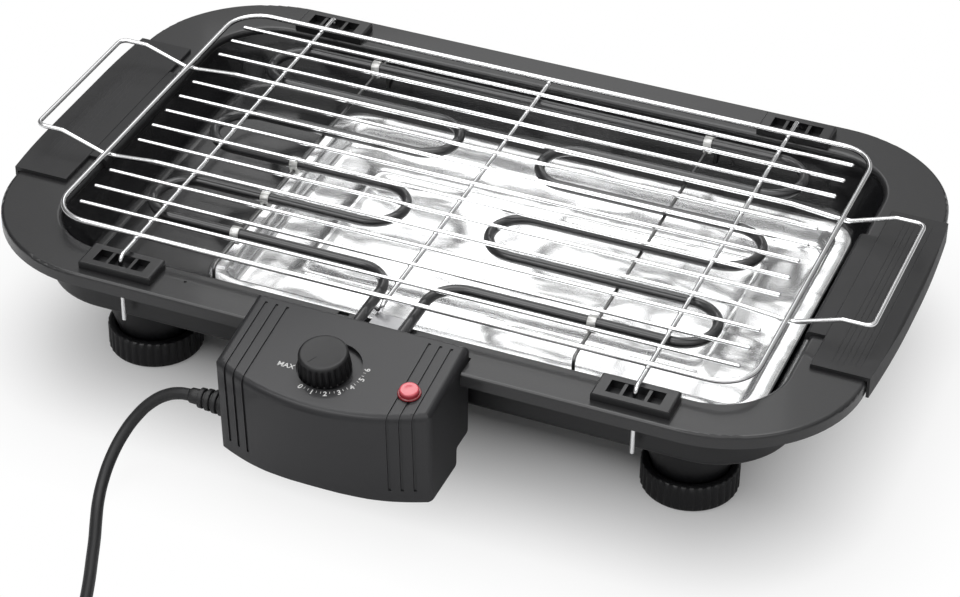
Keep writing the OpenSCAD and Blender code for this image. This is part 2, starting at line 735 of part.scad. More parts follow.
// Outline seen from the side, moved in by d
module box_side(d) {
    polygon(soft([
        [box_y - d, top_z(box_y - d) - d/cos(box_slope), max(0.1, 2 - d)],
        [box_y - d, box_foot + box_step + d, max(0.1, 2 - d)],
        [box_y - 16 - d, box_foot + box_step + d, 2 + d],
        [box_y - 16 - d, box_foot + d, max(0.1, 2 - d)],
        [-front_y + d, box_foot + d, max(0.1, 12 - d)],
        [-front_y - 6, top_z(-front_y - 6) - d/cos(box_slope), 0]]));
}

// The box as a solid, moved in by d
module box_solid(d) intersection() {
    translate([box_l - 1, 0, 0]) rotate([0, 90, 0]) rotate([0, 0, 90])
        linear_extrude(box_w + 2) box_side(d);
    // Bowed front that leans back towards its foot, rounded where it meets the top
    translate([box_x, bow_y, top_z(bow_y)]) rotate([box_slope, 0, 0]) rotate_extrude($fn = 360)
        polygon(soft([[0, -110, 0], [arc_r + 110*tan(flare) - d/cos(flare), -110, 0],
            [arc_r + d*tan(flare) - d/cos(flare), -d, max(0.3, 5 - d)], [0, -d, 0]]));
    // Rounded upright corners
    translate([box_x, -front_y, top_z(-front_y)]) rotate([front_lean - 0.8, 0, 0])
        translate([0, 0, -100]) linear_extrude(130) box_plan(d);
    // Rounding along the upper side edges
    translate([box_x, box_y, box_z]) rotate([box_slope, 0, 0]) rotate([90, 0, 0])
        translate([0, 0, -20]) linear_extrude(box_dep + 60)
            polygon(soft([[-box_w/2 + d, -110, 0], [box_w/2 - d, -110, 0],
                [box_w/2 - d, -d, max(0.1, 4 - d)], [-box_w/2 + d, -d, max(0.1, 4 - d)]]));
}

// Outline seen from above, its front drawn as the bow's two end tangents
module box_plan(d) {
    a = asin(box_w/2/bow_r);
    y = box_bow + d/cos(a) - d*tan(a);
    polygon(soft([
        [box_w/2 - d, bow_r, 0], [-box_w/2 + d, bow_r, 0], [-box_w/2 + d, y, max(0.1, 6 - d)],
        [0, y - (box_w/2 - d)*tan(a), 0], [box_w/2 - d, y, max(0.1, 6 - d)]]));
}

// Screw posts on the box's side walls and under its top
post_r = 4.5;
module posts() for (p = [[box_l + 6.5, box_y - 24.5], [box_r - 6.5, box_y - 24.5],
        [box_x + 27.75, side_y + 10]])
    translate([p.x, p.y, box_foot]) children();

// Outline of the cover, bowed like the box's front
cover_y = box_y - 19;
module cover_shape(g) intersection() {
    translate([box_l + box_wall + 1.5 + g, side_y]) square([box_w - 2*box_wall - 3 - 2*g,
        cover_y - side_y - g]);
    translate([box_x, bow_r - front_y + 4.6]) circle(bow_r - 13.5 - g, $fn = 360);
}

module box_shell() color("#48484b") place() difference() {
    union() {
        difference() {
            box_solid(0);
            box_solid(box_wall);
            translate([0, 0, box_foot - 1]) linear_extrude(box_wall + 2) cover_shape(0);
        }
        intersection() {
            union() {
                posts() translate([0, 0, box_wall]) cylinder(r = post_r, h = 62);
                on_top(dial_x, dial_y) translate([0, 0, -5]) cylinder(d = dial_d + 4, h = 4);
                on_top(lens_x, lens_y) translate([0, 0, -4.5]) cylinder(d = lens_d, h = 3.5);
            }
            box_solid(0.5);
        }
    }
    // Round recess of the dial, shaft and lamp holes
    on_top(dial_x, dial_y) translate([0, 0, -pocket]) cylinder(d = dial_d, h = 6);
    on_top(knob_x, knob_y) translate([0, 0, -8]) cylinder(r = bush_r, h = 8);
    on_top(lens_x, lens_y) translate([0, 0, -8]) cylinder(r = lens_d/2 - 2, h = 12);
    // Holes for the tube's ends, the hook and the cord
    for (s = [-1, 1]) translate([leg_shift + s*leg_x, box_y + 2, tube_z]) rotate([90, 0, 0])
        cylinder(d = tube_d, h = box_wall + 4);
    translate([leg_shift - tongue_w/2, box_y - box_wall - 1, frame_z + rest_gap])
        cube([tongue_w, box_wall + 3, plate_t]);
    translate([box_l - 1, relief_y, relief_z]) rotate([0, 90, 0]) cylinder(r = 5, h = box_wall + 3);
    posts() translate([0, 0, box_wall - 1]) cylinder(r = 1.25, h = 15);
    grooves();
}

// Three grooves on each side, of even depth over the top and down the front
groove_w = 1.6;
groove_x = 42.45;
groove_pitch = 6.5;
module grooves() difference() {
    intersection() {
        box_solid(-1);
        for (s = [-1, 1], k = [0:2])
            translate([box_x + s*(groove_x + groove_pitch*k) - groove_w/2, -front_y - 5, box_foot + 8])
                cube([groove_w, front_y + box_y, 90]);
    }
    box_solid(groove_t);
}

bush_r = shaft_d/2 + 1.4;

module box_cover() color(black) place() difference() {
    translate([0, 0, box_foot]) linear_extrude(box_wall) cover_shape(0.15);
    posts() {
        translate([0, 0, -1]) cylinder(r = 1.4, h = box_wall + 2);
        translate([0, 0, -0.01]) cylinder(r1 = 3, r2 = 1.5, h = 1.5);
    }
    for (k = [-3:3]) translate([box_x + 8*k - 1.5, cover_y - 26, box_foot - 1]) cube([3, 16, box_wall + 2]);
}

module box_screws() color(steel) place() posts() {
    cylinder(r1 = 2.8, r2 = 1.4, h = 1.4);
    cylinder(r = 1.25, h = box_wall + 11);
}

// Thermostat under the box's top, and how deep it and its shaft reach
therm_deep = 22;
shaft_deep = 15.5;
module thermostat() color("#c8b894") place() on_top(knob_x, knob_y) difference() {
    union() {
        translate([0, 0, -therm_deep]) cylinder(r = 11, h = therm_deep - 5);
        translate([0, 0, -6]) cylinder(r = bush_r, h = 5.8 - pocket);
        translate([-14, -4, -19]) cube([28, 8, 3]);
    }
    translate([0, 0, -shaft_deep - 0.5]) cylinder(r = shaft_d/2 + run_gap, h = 20);
}

module pilot_lens() color("#d8404a") place() on_top(lens_x, lens_y) difference() {
    rotate_extrude() polygon(concat(
        [[0, 4.2]], [for (k = [1:7]) [5*sin(k*90/7), 1.2 + 3*cos(k*90/7)]],
        [[lens_d/2, 1.2], [lens_d/2, 0], [lens_d/2 - 2, 0], [lens_d/2 - 2, -7], [0, -7]]));
    translate([0, 0, -8]) cylinder(r = lens_d/2 - 3.2, h = 10);
}

module pilot_neon() color("#e7d2c4") place() on_top(lens_x, lens_y) {
    translate([0, 0, -11]) cylinder(r = lens_d/2 - 3.5, h = 11);
    translate([0, 0, -13]) cylinder(r = lens_d/2 - 2.6, h = 2);
}

block_z = frame_z - 12.5;
module terminal_block() color("#e6e2d6") place()
    translate([leg_shift - leg_x - 8, box_y - box_wall - 13.5, block_z - 15]) difference() {
        cube([2*leg_x + 16, 13.5, 15]);
        for (k = [0:2]) translate([8 + leg_x*k, 6.7, 3]) rotate([90, 0, 0])
            translate([0, 0, -1]) cylinder(r = 2, h = 10);
    }

// Short stretch of cable and its three cores inside the box
module inner_wires() color("#202022") place() {
    x0 = box_l + 17;
    stick([box_l + box_wall + 2, relief_y, relief_z], [x0, relief_y, relief_z], cord_d/2 - 0.2);
    under = box_y - box_wall - 7;
    off = [[1.7, 1.2], [-1.7, -1.2], [1.4, -1.9]];
    ends = [[leg_shift - leg_x, under, block_z - 15], [leg_shift, under, block_z - 15],
        [knob_x, knob_y, top_z(relief_y + off[2].x) - therm_deep/cos(box_slope) - 0.25]];
    for (i = [0:2]) {
        y = relief_y + off[i].x;
        z = relief_z + off[i].y;
        e = ends[i];
        bar(i == 2 ? [[x0, y, z], [e.x, y, z], [e.x, y, e.z]] :
            [[x0, y, z], [e.x, y, z], [e.x, e.y, z], e], 1.1, 3);
    }
}

// ---- cord ----

// Ribbed, tapering sleeve that holds the cord in the box's wall
module strain_relief() color(black) place() translate([box_l, relief_y, relief_z])
    rotate([0, -90, 0]) rotate_extrude() polygon(concat(
        [[0, -box_wall - 2], [7, -box_wall - 2], [7, -box_wall], [5, -box_wall], [5, 0]],
        [for (k = [0:3]) each [[7.2 - 0.45*k, 4.4*k], [7.2 - 0.45*k, 4.4*k + 2.6],
            [5.6 - 0.3*k, 4.4*k + 2.6], [5.6 - 0.3*k, 4.4*k + 4.4]]],
        [[4.4, relief_len], [0, relief_len]]));

module cord_clamp() color("#d8d4c8") place() translate([box_l + box_wall + 3, relief_y - 5, relief_z - 5])
    difference() {
        cube([7, 10, 10]);
        translate([-1, 5, 5]) rotate([0, 90, 0]) cylinder(r = cord_d/2 - 0.2, h = 10);
    }

// Route of the cord from the sleeve to the coil, and from the coil to the plug
exit_p = [box_l - relief_len, relief_y, relief_z];
lead = [exit_p, [-100, -190, 51], [-108, -191, 48], [-116, -194, 42.5], [-123, -199, 34.5],
    [-128, -207, 25.5], [-130, -218, 17], [-129, -230, 10.5], [-125, -244, 6.5],
    [-119.5, -257, 4.6], [-113, -271, 3.8], [-106.5, -286, 3.6], [-100, -301, 3.6],
    [-94, -316, 3.6], [-88, -332, 3.6], [-78, -348, 3.6], [-64, -361, 3.6], [-52, -374, 3.6]];
coil_o = [-80, -410];
coil_r = 38;
coil_z = 0.8;
coil_h = 3*cord_d;
coil_wd = 2*cord_d + 0.6;
// The far end rises off the inner turn, inside the coil, to the plug lying on it
tail_r = 4.5*cord_d;
inner_r = coil_r - coil_wd/4;
tail_o = [coil_o.x, coil_o.y + inner_r - tail_r];
tail_z = coil_z + 2.5*cord_d;
plug_r = 17.5;
plug_len = 45;
plug_p = [tail_o.x, tail_o.y - tail_r, coil_z + coil_h + plug_r + 0.1];
tail = [for (k = [0:12]) let (s = k/12, a = 90 - 180*s)
    [tail_o.x + tail_r*cos(a), tail_o.y + tail_r*sin(a),
     tail_z + (plug_p.z - tail_z)*s*s*(3 - 2*s)]];

module cord() color(black) place() {
    tube(lead, cord_d/2);
    tube(tail, cord_d/2);
}

// Outer shape of the coiled length
module coil() color(black) place() translate([coil_o.x, coil_o.y, coil_z]) rotate_extrude()
    translate([coil_r - coil_wd/2, 0]) square([coil_wd, coil_h]);

module cord_tie() color("#2b2b2d") place() translate([coil_o.x, coil_o.y, coil_z])
    rotate([0, 0, 165]) translate([coil_r, 0, coil_h/2]) difference() {
        cube([coil_wd + 1.4, 6, coil_h + 1.4], center = true);
        cube([coil_wd, 8, coil_h], center = true);
    }

// Two-pin plug that lies on the coil
module plug() color(black) place() translate(plug_p) rotate([0, -90, 0])
    rotate_extrude() polygon([[0, 0], [4.6, 0], [5.6, 14], [12, 22], [plug_r - 1.5, 26],
        [plug_r, 28], [plug_r, plug_len - 1], [plug_r - 1, plug_len], [0, plug_len]]);
module plug_pins() color(steel) place() translate(plug_p) rotate([0, -90, 0])
    for (s = [-1, 1]) translate([0, s*9.5, plug_len]) {
        cylinder(r = 2.4, h = 18);
        translate([0, 0, 18]) cylinder(r1 = 2.4, r2 = 1.4, h = 1.2);
    }

// ---- knob ----

flutes = 20;
module knob() color(black) place() on_top(knob_x, knob_y) difference() {
    union() {
        translate([0, 0, -pocket + 0.5])
            cylinder(r1 = knob_foot, r2 = knob_d/2, h = knob_h + pocket - 1.7);
        translate([0, 0, knob_h - 1.2]) cylinder(d1 = knob_d, d2 = knob_d - 2.4, h = 1.2);
    }
    for (k = [0:flutes - 1]) rotate([0, 0, 360*k/flutes]) translate([knob_foot + 0.75, 0, -3])
        rotate([0, -5.3, 0]) cylinder(r = 1.3, h = knob_h + 0.5);
    translate([0, 0, -3]) difference() {
        cylinder(d = knob_d - 5, h = knob_h);
        cylinder(r = shaft_d/2 + 2.5, h = knob_h + 1);
    }
    translate([0, 0, -3]) cylinder(d = shaft_d, h = knob_h - 1);
    // Pointer line, set towards the dial's zero
    translate([0, 0, knob_h - 0.5]) rotate([0, 0, -111]) translate([3, -0.5, 0]) cube([9, 1, 2]);
}
module knob_shaft() color(steel) place() on_top(knob_x, knob_y)
    translate([0, 0, -shaft_deep]) cylinder(d = shaft_d, h = shaft_deep + knob_h - 4);

// ---- rack ----

module rack_frame() color(steel) place() translate([rack_x, rack_y, rack_z])
    round_frame(rack_len/2 - rack_r, rack_dep/2 - rack_r) translate([rack_r, 0]) circle(d = rack_wire);

module rack_rods() color(steel) place() translate([rack_x, rack_y, rod_z])
    for (i = [-mid_rod:mid_rod]) if (abs(i) != handle_rod)
        translate([-rod_len/2, i*rod_pitch, 0]) rotate([0, 90, 0]) cylinder(d = rod_wire, h = rod_len);

// One long wire: two rods and both carrying handles
module rack_loop() color(steel) place() translate([rack_x, rack_y, 0]) {
    y = handle_rod*rod_pitch;
    dip = rack_len/2 - 5;
    right = [[dip - 26, -y, loop_z], [dip, -y, dip_z], [rack_len/2 + 4, -y, dip_z],
        [handle_x - 17, -y, bail_z], [handle_x, -y, bail_z], [handle_x, y, bail_z],
        [handle_x - 17, y, bail_z], [rack_len/2 + 4, y, dip_z], [dip, y, dip_z],
        [dip - 26, y, loop_z]];
    left = [for (q = right) [-q.x, -q.y, q.z]];
    tube(rounded(concat(right, left), 5, 3, true), loop_wire/2, closed = true);
}

// Cross wire whose ends are bent down into pins
module cross_pins(x) color(steel) place() translate([rack_x + x, rack_y, 0])
    bar([[0, -pin_y, frame_z - pin_drop], [0, -pin_y, cross_z], [0, pin_y, cross_z],
        [0, pin_y, frame_z - pin_drop]], cross_wire/2, 4);
module cross_left() cross_pins(-cross_x);
module cross_right() cross_pins(cross_x);

// Middle cross wire with a small hook at its front end
module cross_centre() color(steel) place() translate([rack_x, rack_y, 0]) tube(rounded([
    [0, rack_dep/2 + 2, cross_z], [0, -rack_dep/2 - 3, cross_z],
    [-1.5, -rack_dep/2 - 3, cross_z - 5], [-5, -rack_dep/2 - 1, cross_z - 5]], 2.2, 5),
    cross_wire/2, [1, 0, 0.2]);

frame();
pan();
housing();
pan_nuts();
pad_left();
pad_right();
pad_washers();
bracket_fl();
bracket_fr();
bracket_bl();
bracket_br();
bracket_washers();
foot_insert_fl();
foot_insert_fr();
foot_insert_bl();
foot_insert_br();
foot_fl();
foot_fr();
foot_bl();
foot_br();
foot_stud_fl();
foot_stud_fr();
foot_stud_bl();
foot_stud_br();
drip_tray();
element();
element_pins();
support_left();
support_right();
clips_left();
clips_right();
mount_plate();
box_shell();
box_cover();
box_screws();
thermostat();
pilot_lens();
pilot_neon();
terminal_block();
inner_wires();
strain_relief();
cord_clamp();
cord();
coil();
cord_tie();
plug();
plug_pins();
knob();
knob_shaft();
rack_frame();
rack_rods();
rack_loop();
cross_left();
cross_centre();
cross_right();
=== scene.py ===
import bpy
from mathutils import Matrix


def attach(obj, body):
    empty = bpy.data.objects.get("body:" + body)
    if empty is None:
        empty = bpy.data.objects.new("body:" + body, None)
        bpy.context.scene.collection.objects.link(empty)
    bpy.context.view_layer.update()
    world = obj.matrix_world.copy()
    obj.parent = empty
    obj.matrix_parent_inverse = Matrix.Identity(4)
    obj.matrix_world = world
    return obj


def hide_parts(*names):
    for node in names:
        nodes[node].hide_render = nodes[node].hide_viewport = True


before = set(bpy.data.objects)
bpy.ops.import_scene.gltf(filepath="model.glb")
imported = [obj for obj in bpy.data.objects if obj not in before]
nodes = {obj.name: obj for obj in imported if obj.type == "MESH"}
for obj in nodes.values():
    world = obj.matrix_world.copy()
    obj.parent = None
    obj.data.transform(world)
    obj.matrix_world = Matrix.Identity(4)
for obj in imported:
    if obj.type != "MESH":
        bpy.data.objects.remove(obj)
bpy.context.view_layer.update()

import math

import bmesh
import bpy
from mathutils import Matrix, Vector


# ---------------------------------------------------------------------------
# The studio: a pale table that runs back without an edge, a large soft lamp
# above the grill, one behind it, a strip in front of it, and a white room.
# ---------------------------------------------------------------------------

def put(name, data):
    """A new object with this data, in the scene."""
    thing = bpy.data.objects.new(name, data)
    bpy.context.scene.collection.objects.link(thing)
    return thing


# A long lens from the front right, about 36 degrees above the table
camera = put("camera", bpy.data.cameras.new("camera"))
bpy.context.scene.camera = camera
aim = Matrix(((0.9253696, 0.3787902, 0.0144583),
              (-0.2316775, 0.5349666, 0.8124877),
              (0.3000276, -0.7552011, 0.5827990))).transposed()
stand = Matrix.Translation((0.534719, -1.310485, 1.052935))
camera.matrix_world = stand @ aim.to_4x4()
camera.data.sensor_fit = "HORIZONTAL"
camera.data.sensor_width = 36
camera.data.lens = 110.854
camera.data.clip_start = 0.05
camera.data.clip_end = 60
bpy.context.scene.view_settings.view_transform = "Standard"


class Value:
    """A node's output. Used in a sum, it adds the Math nodes for that sum."""

    def __init__(self, net, socket):
        self.net, self.socket = net, socket

    def __add__(self, other): return self.net.sum("ADD", self, other)
    def __radd__(self, other): return self.net.sum("ADD", other, self)
    def __sub__(self, other): return self.net.sum("SUBTRACT", self, other)
    def __rsub__(self, other): return self.net.sum("SUBTRACT", other, self)
    def __mul__(self, other): return self.net.sum("MULTIPLY", self, other)
    def __rmul__(self, other): return self.net.sum("MULTIPLY", other, self)
    def __truediv__(self, other): return self.net.sum("DIVIDE", self, other)
    def __pow__(self, other): return self.net.sum("POWER", self, other)
    def __gt__(self, other): return self.net.sum("GREATER_THAN", self, other)
    def __lt__(self, other): return self.net.sum("LESS_THAN", self, other)


class Net:
    """Lays nodes in one tree, which it empties first."""

    def __init__(self, tree):
        self.tree = tree
        tree.nodes.clear()

    def add(self, kind, settings={}, sockets={}, out=0):
        node = self.tree.nodes.new(kind)
        for name, value in settings.items():
            if name != "stops":
                setattr(node, name, value)
                continue
            stops = node.color_ramp.elements
            while len(stops) < len(value):
                stops.new(0.5)
            for stop, (place, shade) in zip(stops, value):
                stop.position, stop.color = place, (shade, shade, shade, 1)
        for name, value in sockets.items():
            self.feed(node.inputs[name], value)
        return Value(self, node.outputs[out])

    def feed(self, socket, value):
        if isinstance(value, Value):
            self.tree.links.new(value.socket, socket)
        else:
            socket.default_value = value

    def end(self, kind, value):
        self.tree.links.new(value.socket, self.tree.nodes.new(kind).inputs[0])

    def sum(self, how, a, b=0.0):
        return self.add("ShaderNodeMath", {"operation": how}, {0: a, 1: b})

    def ramp(self, value, *stops):
        return self.add("ShaderNodeValToRGB", {"stops": stops}, {"Fac": value})

    def mix(self, share, a, b):
        a, b = ((*c, 1) if isinstance(c, tuple) else c for c in (a, b))
        return self.add("ShaderNodeMix", {"data_type": "RGBA"},
                        {0: share, 6: a, 7: b}, out=2)

    def place(self, stretch=(1, 1, 1), shift=(0, 0, 0)):
        here = self.add("ShaderNodeTexCoord", out=3)
        return self.add("ShaderNodeMapping", {}, {
            "Vector": here, "Scale": stretch, "Location": shift})

    def noise(self, scale, detail=3.0, rough=0.5, twist=0.0, stretch=(1, 1, 1)):
        return self.add("ShaderNodeTexNoise", {}, {
            "Vector": self.place(stretch), "Scale": scale, "Detail": detail,
            "Roughness": rough, "Distortion": twist})

    def cells(self, scale, feature="F1"):
        return self.add("ShaderNodeTexVoronoi", {"feature": feature}, {
            "Vector": self.place(), "Scale": scale})

    def bump(self, height, strength, depth):
        return self.add("ShaderNodeBump", {}, {
            "Height": height, "Strength": strength, "Distance": depth})


def finish(name, **fixed):
    """Makes a material of the function below it, which says what varies over it."""
    def make(recipe):
        mat = bpy.data.materials.new(name)
        mat.use_nodes = True
        net = Net(mat.node_tree)
        shader = net.tree.nodes.new("ShaderNodeBsdfPrincipled")
        net.end("ShaderNodeOutputMaterial", Value(net, shader.outputs[0]))
        for socket, value in fixed.items():
            shader.inputs[socket.replace("_", " ")].default_value = value
        for socket, value in recipe(net).items():
            net.feed(shader.inputs[socket], value)
        return mat
    return make


def rays(net, *names):
    """1 for any of these kinds of ray, 0 for the others."""
    kinds = net.tree.nodes.new("ShaderNodeLightPath")
    count = sum(Value(net, kinds.outputs["Is " + name + " Ray"]) for name in names)
    return net.add("ShaderNodeClamp", {}, {"Value": count})


def apart(net, vector):
    """The three numbers of a vector."""
    split = net.tree.nodes.new("ShaderNodeSeparateXYZ")
    net.feed(split.inputs[0], vector)
    return [Value(net, socket) for socket in split.outputs]


room = bpy.data.worlds.new("room")
bpy.context.scene.world = room
room.use_nodes = True
net = Net(room.node_tree)
lit = net.add("ShaderNodeBackground", {}, {"Color": (1, 1, 1, 1), "Strength": 0.46})
# White behind the grill; glossy pieces see walls that are greyer low down and to the
# sides, with a bright panel across the front
x, y, z = apart(net, net.add("ShaderNodeTexCoord"))
wall = net.ramp(z, (0.0, 0.5), (0.2, 0.22), (0.42, 0.36), (0.56, 0.72), (0.75, 0.9))
side = net.ramp(0.5 + 0.5 * x,
                (0.22, 0.3), (0.3, 0.85), (0.36, 1.0), (0.44, 0.65), (0.7, 0.8))
front = net.ramp(0.5 + 0.5 * y, (0.08, 1.0), (0.4, 0.8), (0.48, 0.0))
seen = wall * side * (1.0 + 1.5 * front)
white = net.mix(rays(net, "Camera"), seen, (1.0, 1.0, 1.0))
shown = net.add("ShaderNodeBackground", {}, {"Color": white, "Strength": 1.0})
net.end("ShaderNodeOutputWorld", net.add("ShaderNodeMixShader", {}, {
    0: rays(net, "Camera", "Glossy", "Transmission"), 1: lit, 2: shown}))

top = bpy.data.materials.new("table")
top.use_nodes = True
net = Net(top.node_tree)
plain = net.add("ShaderNodeBsdfDiffuse", {}, {
    "Color": net.mix(net.noise(1.3), (0.87, 0.87, 0.875), (0.885, 0.885, 0.89))})
# The table runs out to plain white from under the frame to a hand's width beyond it.
# Distances are from a shaded rectangle under the grill, in metres
shade_x, shade_y, shade_middle = 0.17, 0.08, 0.028
x, y, z = apart(net, net.add("ShaderNodeTexCoord", out=3))
off_x = net.sum("MAXIMUM", net.sum("ABSOLUTE", x) - shade_x, 0.0)
off_y = net.sum("MAXIMUM", net.sum("ABSOLUTE", y - shade_middle) - shade_y, 0.0)
away = net.ramp(5.0 * net.sum("SQRT", off_x * off_x + off_y * off_y),
                (0.0, 0.0), (0.25, 0.35), (0.55, 0.85), (0.8, 1.0))
glow = net.add("ShaderNodeEmission", {}, {"Color": (1, 1, 1, 1), "Strength": 1.0})
net.end("ShaderNodeOutputMaterial", net.add("ShaderNodeMixShader", {}, {
    0: rays(net, "Camera", "Transmission") * away, 1: plain, 2: glow}))

table = bpy.data.meshes.new("table")
table.from_pydata([(-5, -5, 0), (5, -5, 0), (5, 5, 0), (-5, 5, 0)], [], [(0, 1, 2, 3)])
table.materials.append(top)
table = put("table", table)

lit_point = Vector((0, 0, 0.05))


def lamp(name, size, power, place):
    """A rectangular lamp of this size in metres and power in watts, facing the grill."""
    light = bpy.data.lights.new(name, "AREA")
    light.shape, light.size, light.size_y, light.energy = "RECTANGLE", *size, power
    thing = put(name, light)
    thing.location = place
    thing.rotation_mode = "QUATERNION"
    thing.rotation_quaternion = (Vector(place) - lit_point).to_track_quat("Z", "Y")


lamp("overhead_softbox", (1.5, 1.1), 13, (-0.25, 0.35, 1.6))
lamp("back_softbox", (0.9, 0.8), 2.4, (-0.8, 2.1, 1.75))
lamp("front_strip", (1.3, 0.35), 4, (-0.55, -1.2, 1.45))


# ---------------------------------------------------------------------------
# The mains lead: 7 mm black rubber-covered cable. It leaves the box on the
# left, bends down to the table and ends in a tied coil with its moulded plug.
# ---------------------------------------------------------------------------

# How far the frame's middle lies behind the part's origin, in mm
frame_y = 28


def at(x, y, z):
    """Millimetres from the frame's middle, as a point of the part."""
    return Vector((x, y + frame_y, z)) / 1000


def ease(f):
    """A share from 0 to 1 with a soft start and end."""
    return f * f * (3 - 2 * f)


# The cord's radius, and the lead's centreline from the box to the coil, in mm
cord_r = 3.5
lead = [(-93, -190, 52), (-100, -190, 51), (-108, -191, 48), (-116, -194, 42.5),
        (-123, -199, 34.5), (-128, -207, 25.5), (-130, -218, 17), (-129, -230, 10.5),
        (-125, -244, 6.5), (-119.5, -257, 4.6), (-113, -271, 3.8), (-106.5, -286, 3.6),
        (-100, -301, 3.6), (-94, -316, 3.6), (-88, -332, 3.6), (-78, -348, 3.6),
        (-64, -361, 3.6), (-52, -374, 3.6)]
# The coil's middle and foot, the radii of its two rings of strands and its three layers
coil_x, coil_y, coil_z = -80, -410, 0.8
near, far = 34.35, 41.65
low, middle, high = (coil_z + cord_r + 2 * cord_r * layer for layer in range(3))
# Places in the coil's section, and the turn's angle at which each is reached and left
winding = [(25, far, low), (190, far, low), (310, near, low), (490, near, low),
           (610, near, middle), (790, near, middle), (910, far, middle),
           (1090, far, middle), (1210, far, high), (1390, far, high),
           (1510, near, high), (1750, near, high)]
first_way = 52
turns = []
for angle in range(25, 1751, 15):
    k = max(i for i, stop in enumerate(winding[:-1]) if stop[0] <= angle)
    (a, r0, z0), (b, r1, z1) = winding[k], winding[k + 1]
    f = ease((angle - a) / (b - a))
    r, way = r0 + (r1 - r0) * f, math.radians(first_way - angle)
    turns.append((coil_x + r * math.cos(way), coil_y + r * math.sin(way),
                  z0 + (z1 - z0) * f))
# From the last turn the lead rises half round the coil, into the plug's neck
rise_r, rise_y, plug_y, plug_z = 31.5, coil_y + 2.85, -438.65, 39.4
rise_steps = 12
rise = []
for k in range(rise_steps + 1):
    f = k / rise_steps
    way = math.radians(90 - 180 * f)
    rise.append((coil_x + rise_r * math.cos(way), rise_y + rise_r * math.sin(way),
                 high + (plug_z - high) * ease(f)))
route = [at(*p) for p in lead + turns + rise]

line = bpy.data.curves.new("mains_cord", "CURVE")
line.dimensions = "3D"
line.resolution_u = 5
line.bevel_depth = cord_r / 1000
line.bevel_resolution = 4
line.use_fill_caps = True
spline = line.splines.new("BEZIER")
spline.bezier_points.add(len(route) - 1)
for knot, p in zip(spline.bezier_points, route):
    knot.co = p
    knot.handle_left_type = knot.handle_right_type = "AUTO"
mains_cord = put("mains_cord", line)


@finish("cord_rubber", IOR=1.5)
def cord_rubber(n):
    scuffs = n.noise(90, 4, 0.6)
    dust = n.ramp(n.noise(14, 2), (0.45, 0), (0.75, 1))
    return {"Base Color": n.mix(dust, (0.012, 0.012, 0.013), (0.022, 0.022, 0.023)),
            "Roughness": 0.42 + 0.16 * scuffs,
            "Normal": n.bump(n.noise(2500, 2), 0.1, 0.0001)}


line.materials.append(cord_rubber)
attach(mains_cord, "heater")
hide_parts("cord", "coil")


def piece(name, mesh, body, slot, *stands_for, material=None, angle=35):
    """Puts a finished mesh in the scene as a piece that moves with one body."""
    if material:
        mesh.materials.clear()
        mesh.materials.append(material)
    for face in mesh.polygons:
        face.use_smooth = True
    if angle:
        mesh.set_sharp_from_angle(angle=math.radians(angle))
    mesh.name = name
    thing = put(name, mesh)
    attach(thing, body)
    if stands_for:
        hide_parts(*stands_for)
    return thing


def evaluated(holder):
    """The mesh that an object's modifiers or text come to; the object is dropped."""
    seen = holder.evaluated_get(bpy.context.evaluated_depsgraph_get())
    made = bpy.data.meshes.new_from_object(seen)
    bpy.data.objects.remove(holder)
    return made


def worked(mesh, *modifiers):
    """The mesh after these modifiers, each a type with its settings."""
    holder = put("holder", mesh)
    for kind, settings in modifiers:
        step = holder.modifiers.new(kind, kind)
        for name, value in settings.items():
            setattr(step, name, value)
    return evaluated(holder)


def meshed(form, name):
    """A finished bmesh as a mesh."""
    mesh = bpy.data.meshes.new(name)
    form.to_mesh(mesh)
    form.free()
    return mesh


same_point, flat_angle = 3e-6, math.radians(0.4)


def softened(node, edge, sharp=38):
    """A node's own shape with its facets joined and its edges broken by a small round.
    The edge is in metres, and only edges sharper than this many degrees are broken."""
    form = bmesh.new()
    form.from_mesh(nodes[node].data)
    bmesh.ops.remove_doubles(form, verts=form.verts, dist=same_point)
    bmesh.ops.dissolve_limit(form, angle_limit=flat_angle, verts=form.verts,
                             edges=form.edges)
    mesh = meshed(form, node)
    for face in mesh.polygons:
        face.use_smooth = True
    mesh.set_sharp_from_angle(angle=math.radians(sharp))
    return worked(
        mesh,
        ("BEVEL", {"width": edge, "segments": 2, "limit_method": "ANGLE",
                   "angle_limit": math.radians(sharp), "use_clamp_overlap": True,
                   "harden_normals": True}),
        ("WEIGHTED_NORMAL", {"keep_sharp": True, "weight": 60}))


@finish("plug_plastic", IOR=1.5)
def plug_plastic(n):
    return {"Base Color": n.mix(n.noise(30), (0.012, 0.012, 0.013), (0.02, 0.02, 0.021)),
            "Roughness": 0.36 + 0.14 * n.noise(60, 4),
            "Normal": n.bump(n.noise(1500, 2), 0.15, 0.0001)}


def turned(profile, steps):
    """A body turned round Z from pairs of radius and height in mm, axis to axis."""
    form = bmesh.new()
    rings = []
    for r, z in profile:
        ways = [k * math.tau / steps for k in range(steps)] if r else [0]
        rings.append([form.verts.new((r / 1000 * math.cos(way), r / 1000 * math.sin(way),
                                      z / 1000)) for way in ways])
    for a, b in zip(rings, rings[1:]):
        for k in range(steps):
            j = (k + 1) % steps
            if len(a) == 1:
                form.faces.new((a[0], b[j], b[k]))
            elif len(b) == 1:
                form.faces.new((a[k], a[j], b[0]))
            else:
                form.faces.new((a[k], a[j], b[j], b[k]))
    bmesh.ops.recalc_face_normals(form, faces=form.faces)
    return meshed(form, "turned")


def grown(tree, mesh, **sizes):
    """The mesh that a Geometry Nodes tree makes of another, with its named sizes set."""
    holder = put("holder", mesh)
    step = holder.modifiers.new("grown", "NODES")
    step.node_group = tree
    keys = {s.name: s.identifier for s in tree.interface.items_tree if s.in_out == "INPUT"}
    for name, value in sizes.items():
        step[keys[name.replace("_", " ")]] = value
    return evaluated(holder)


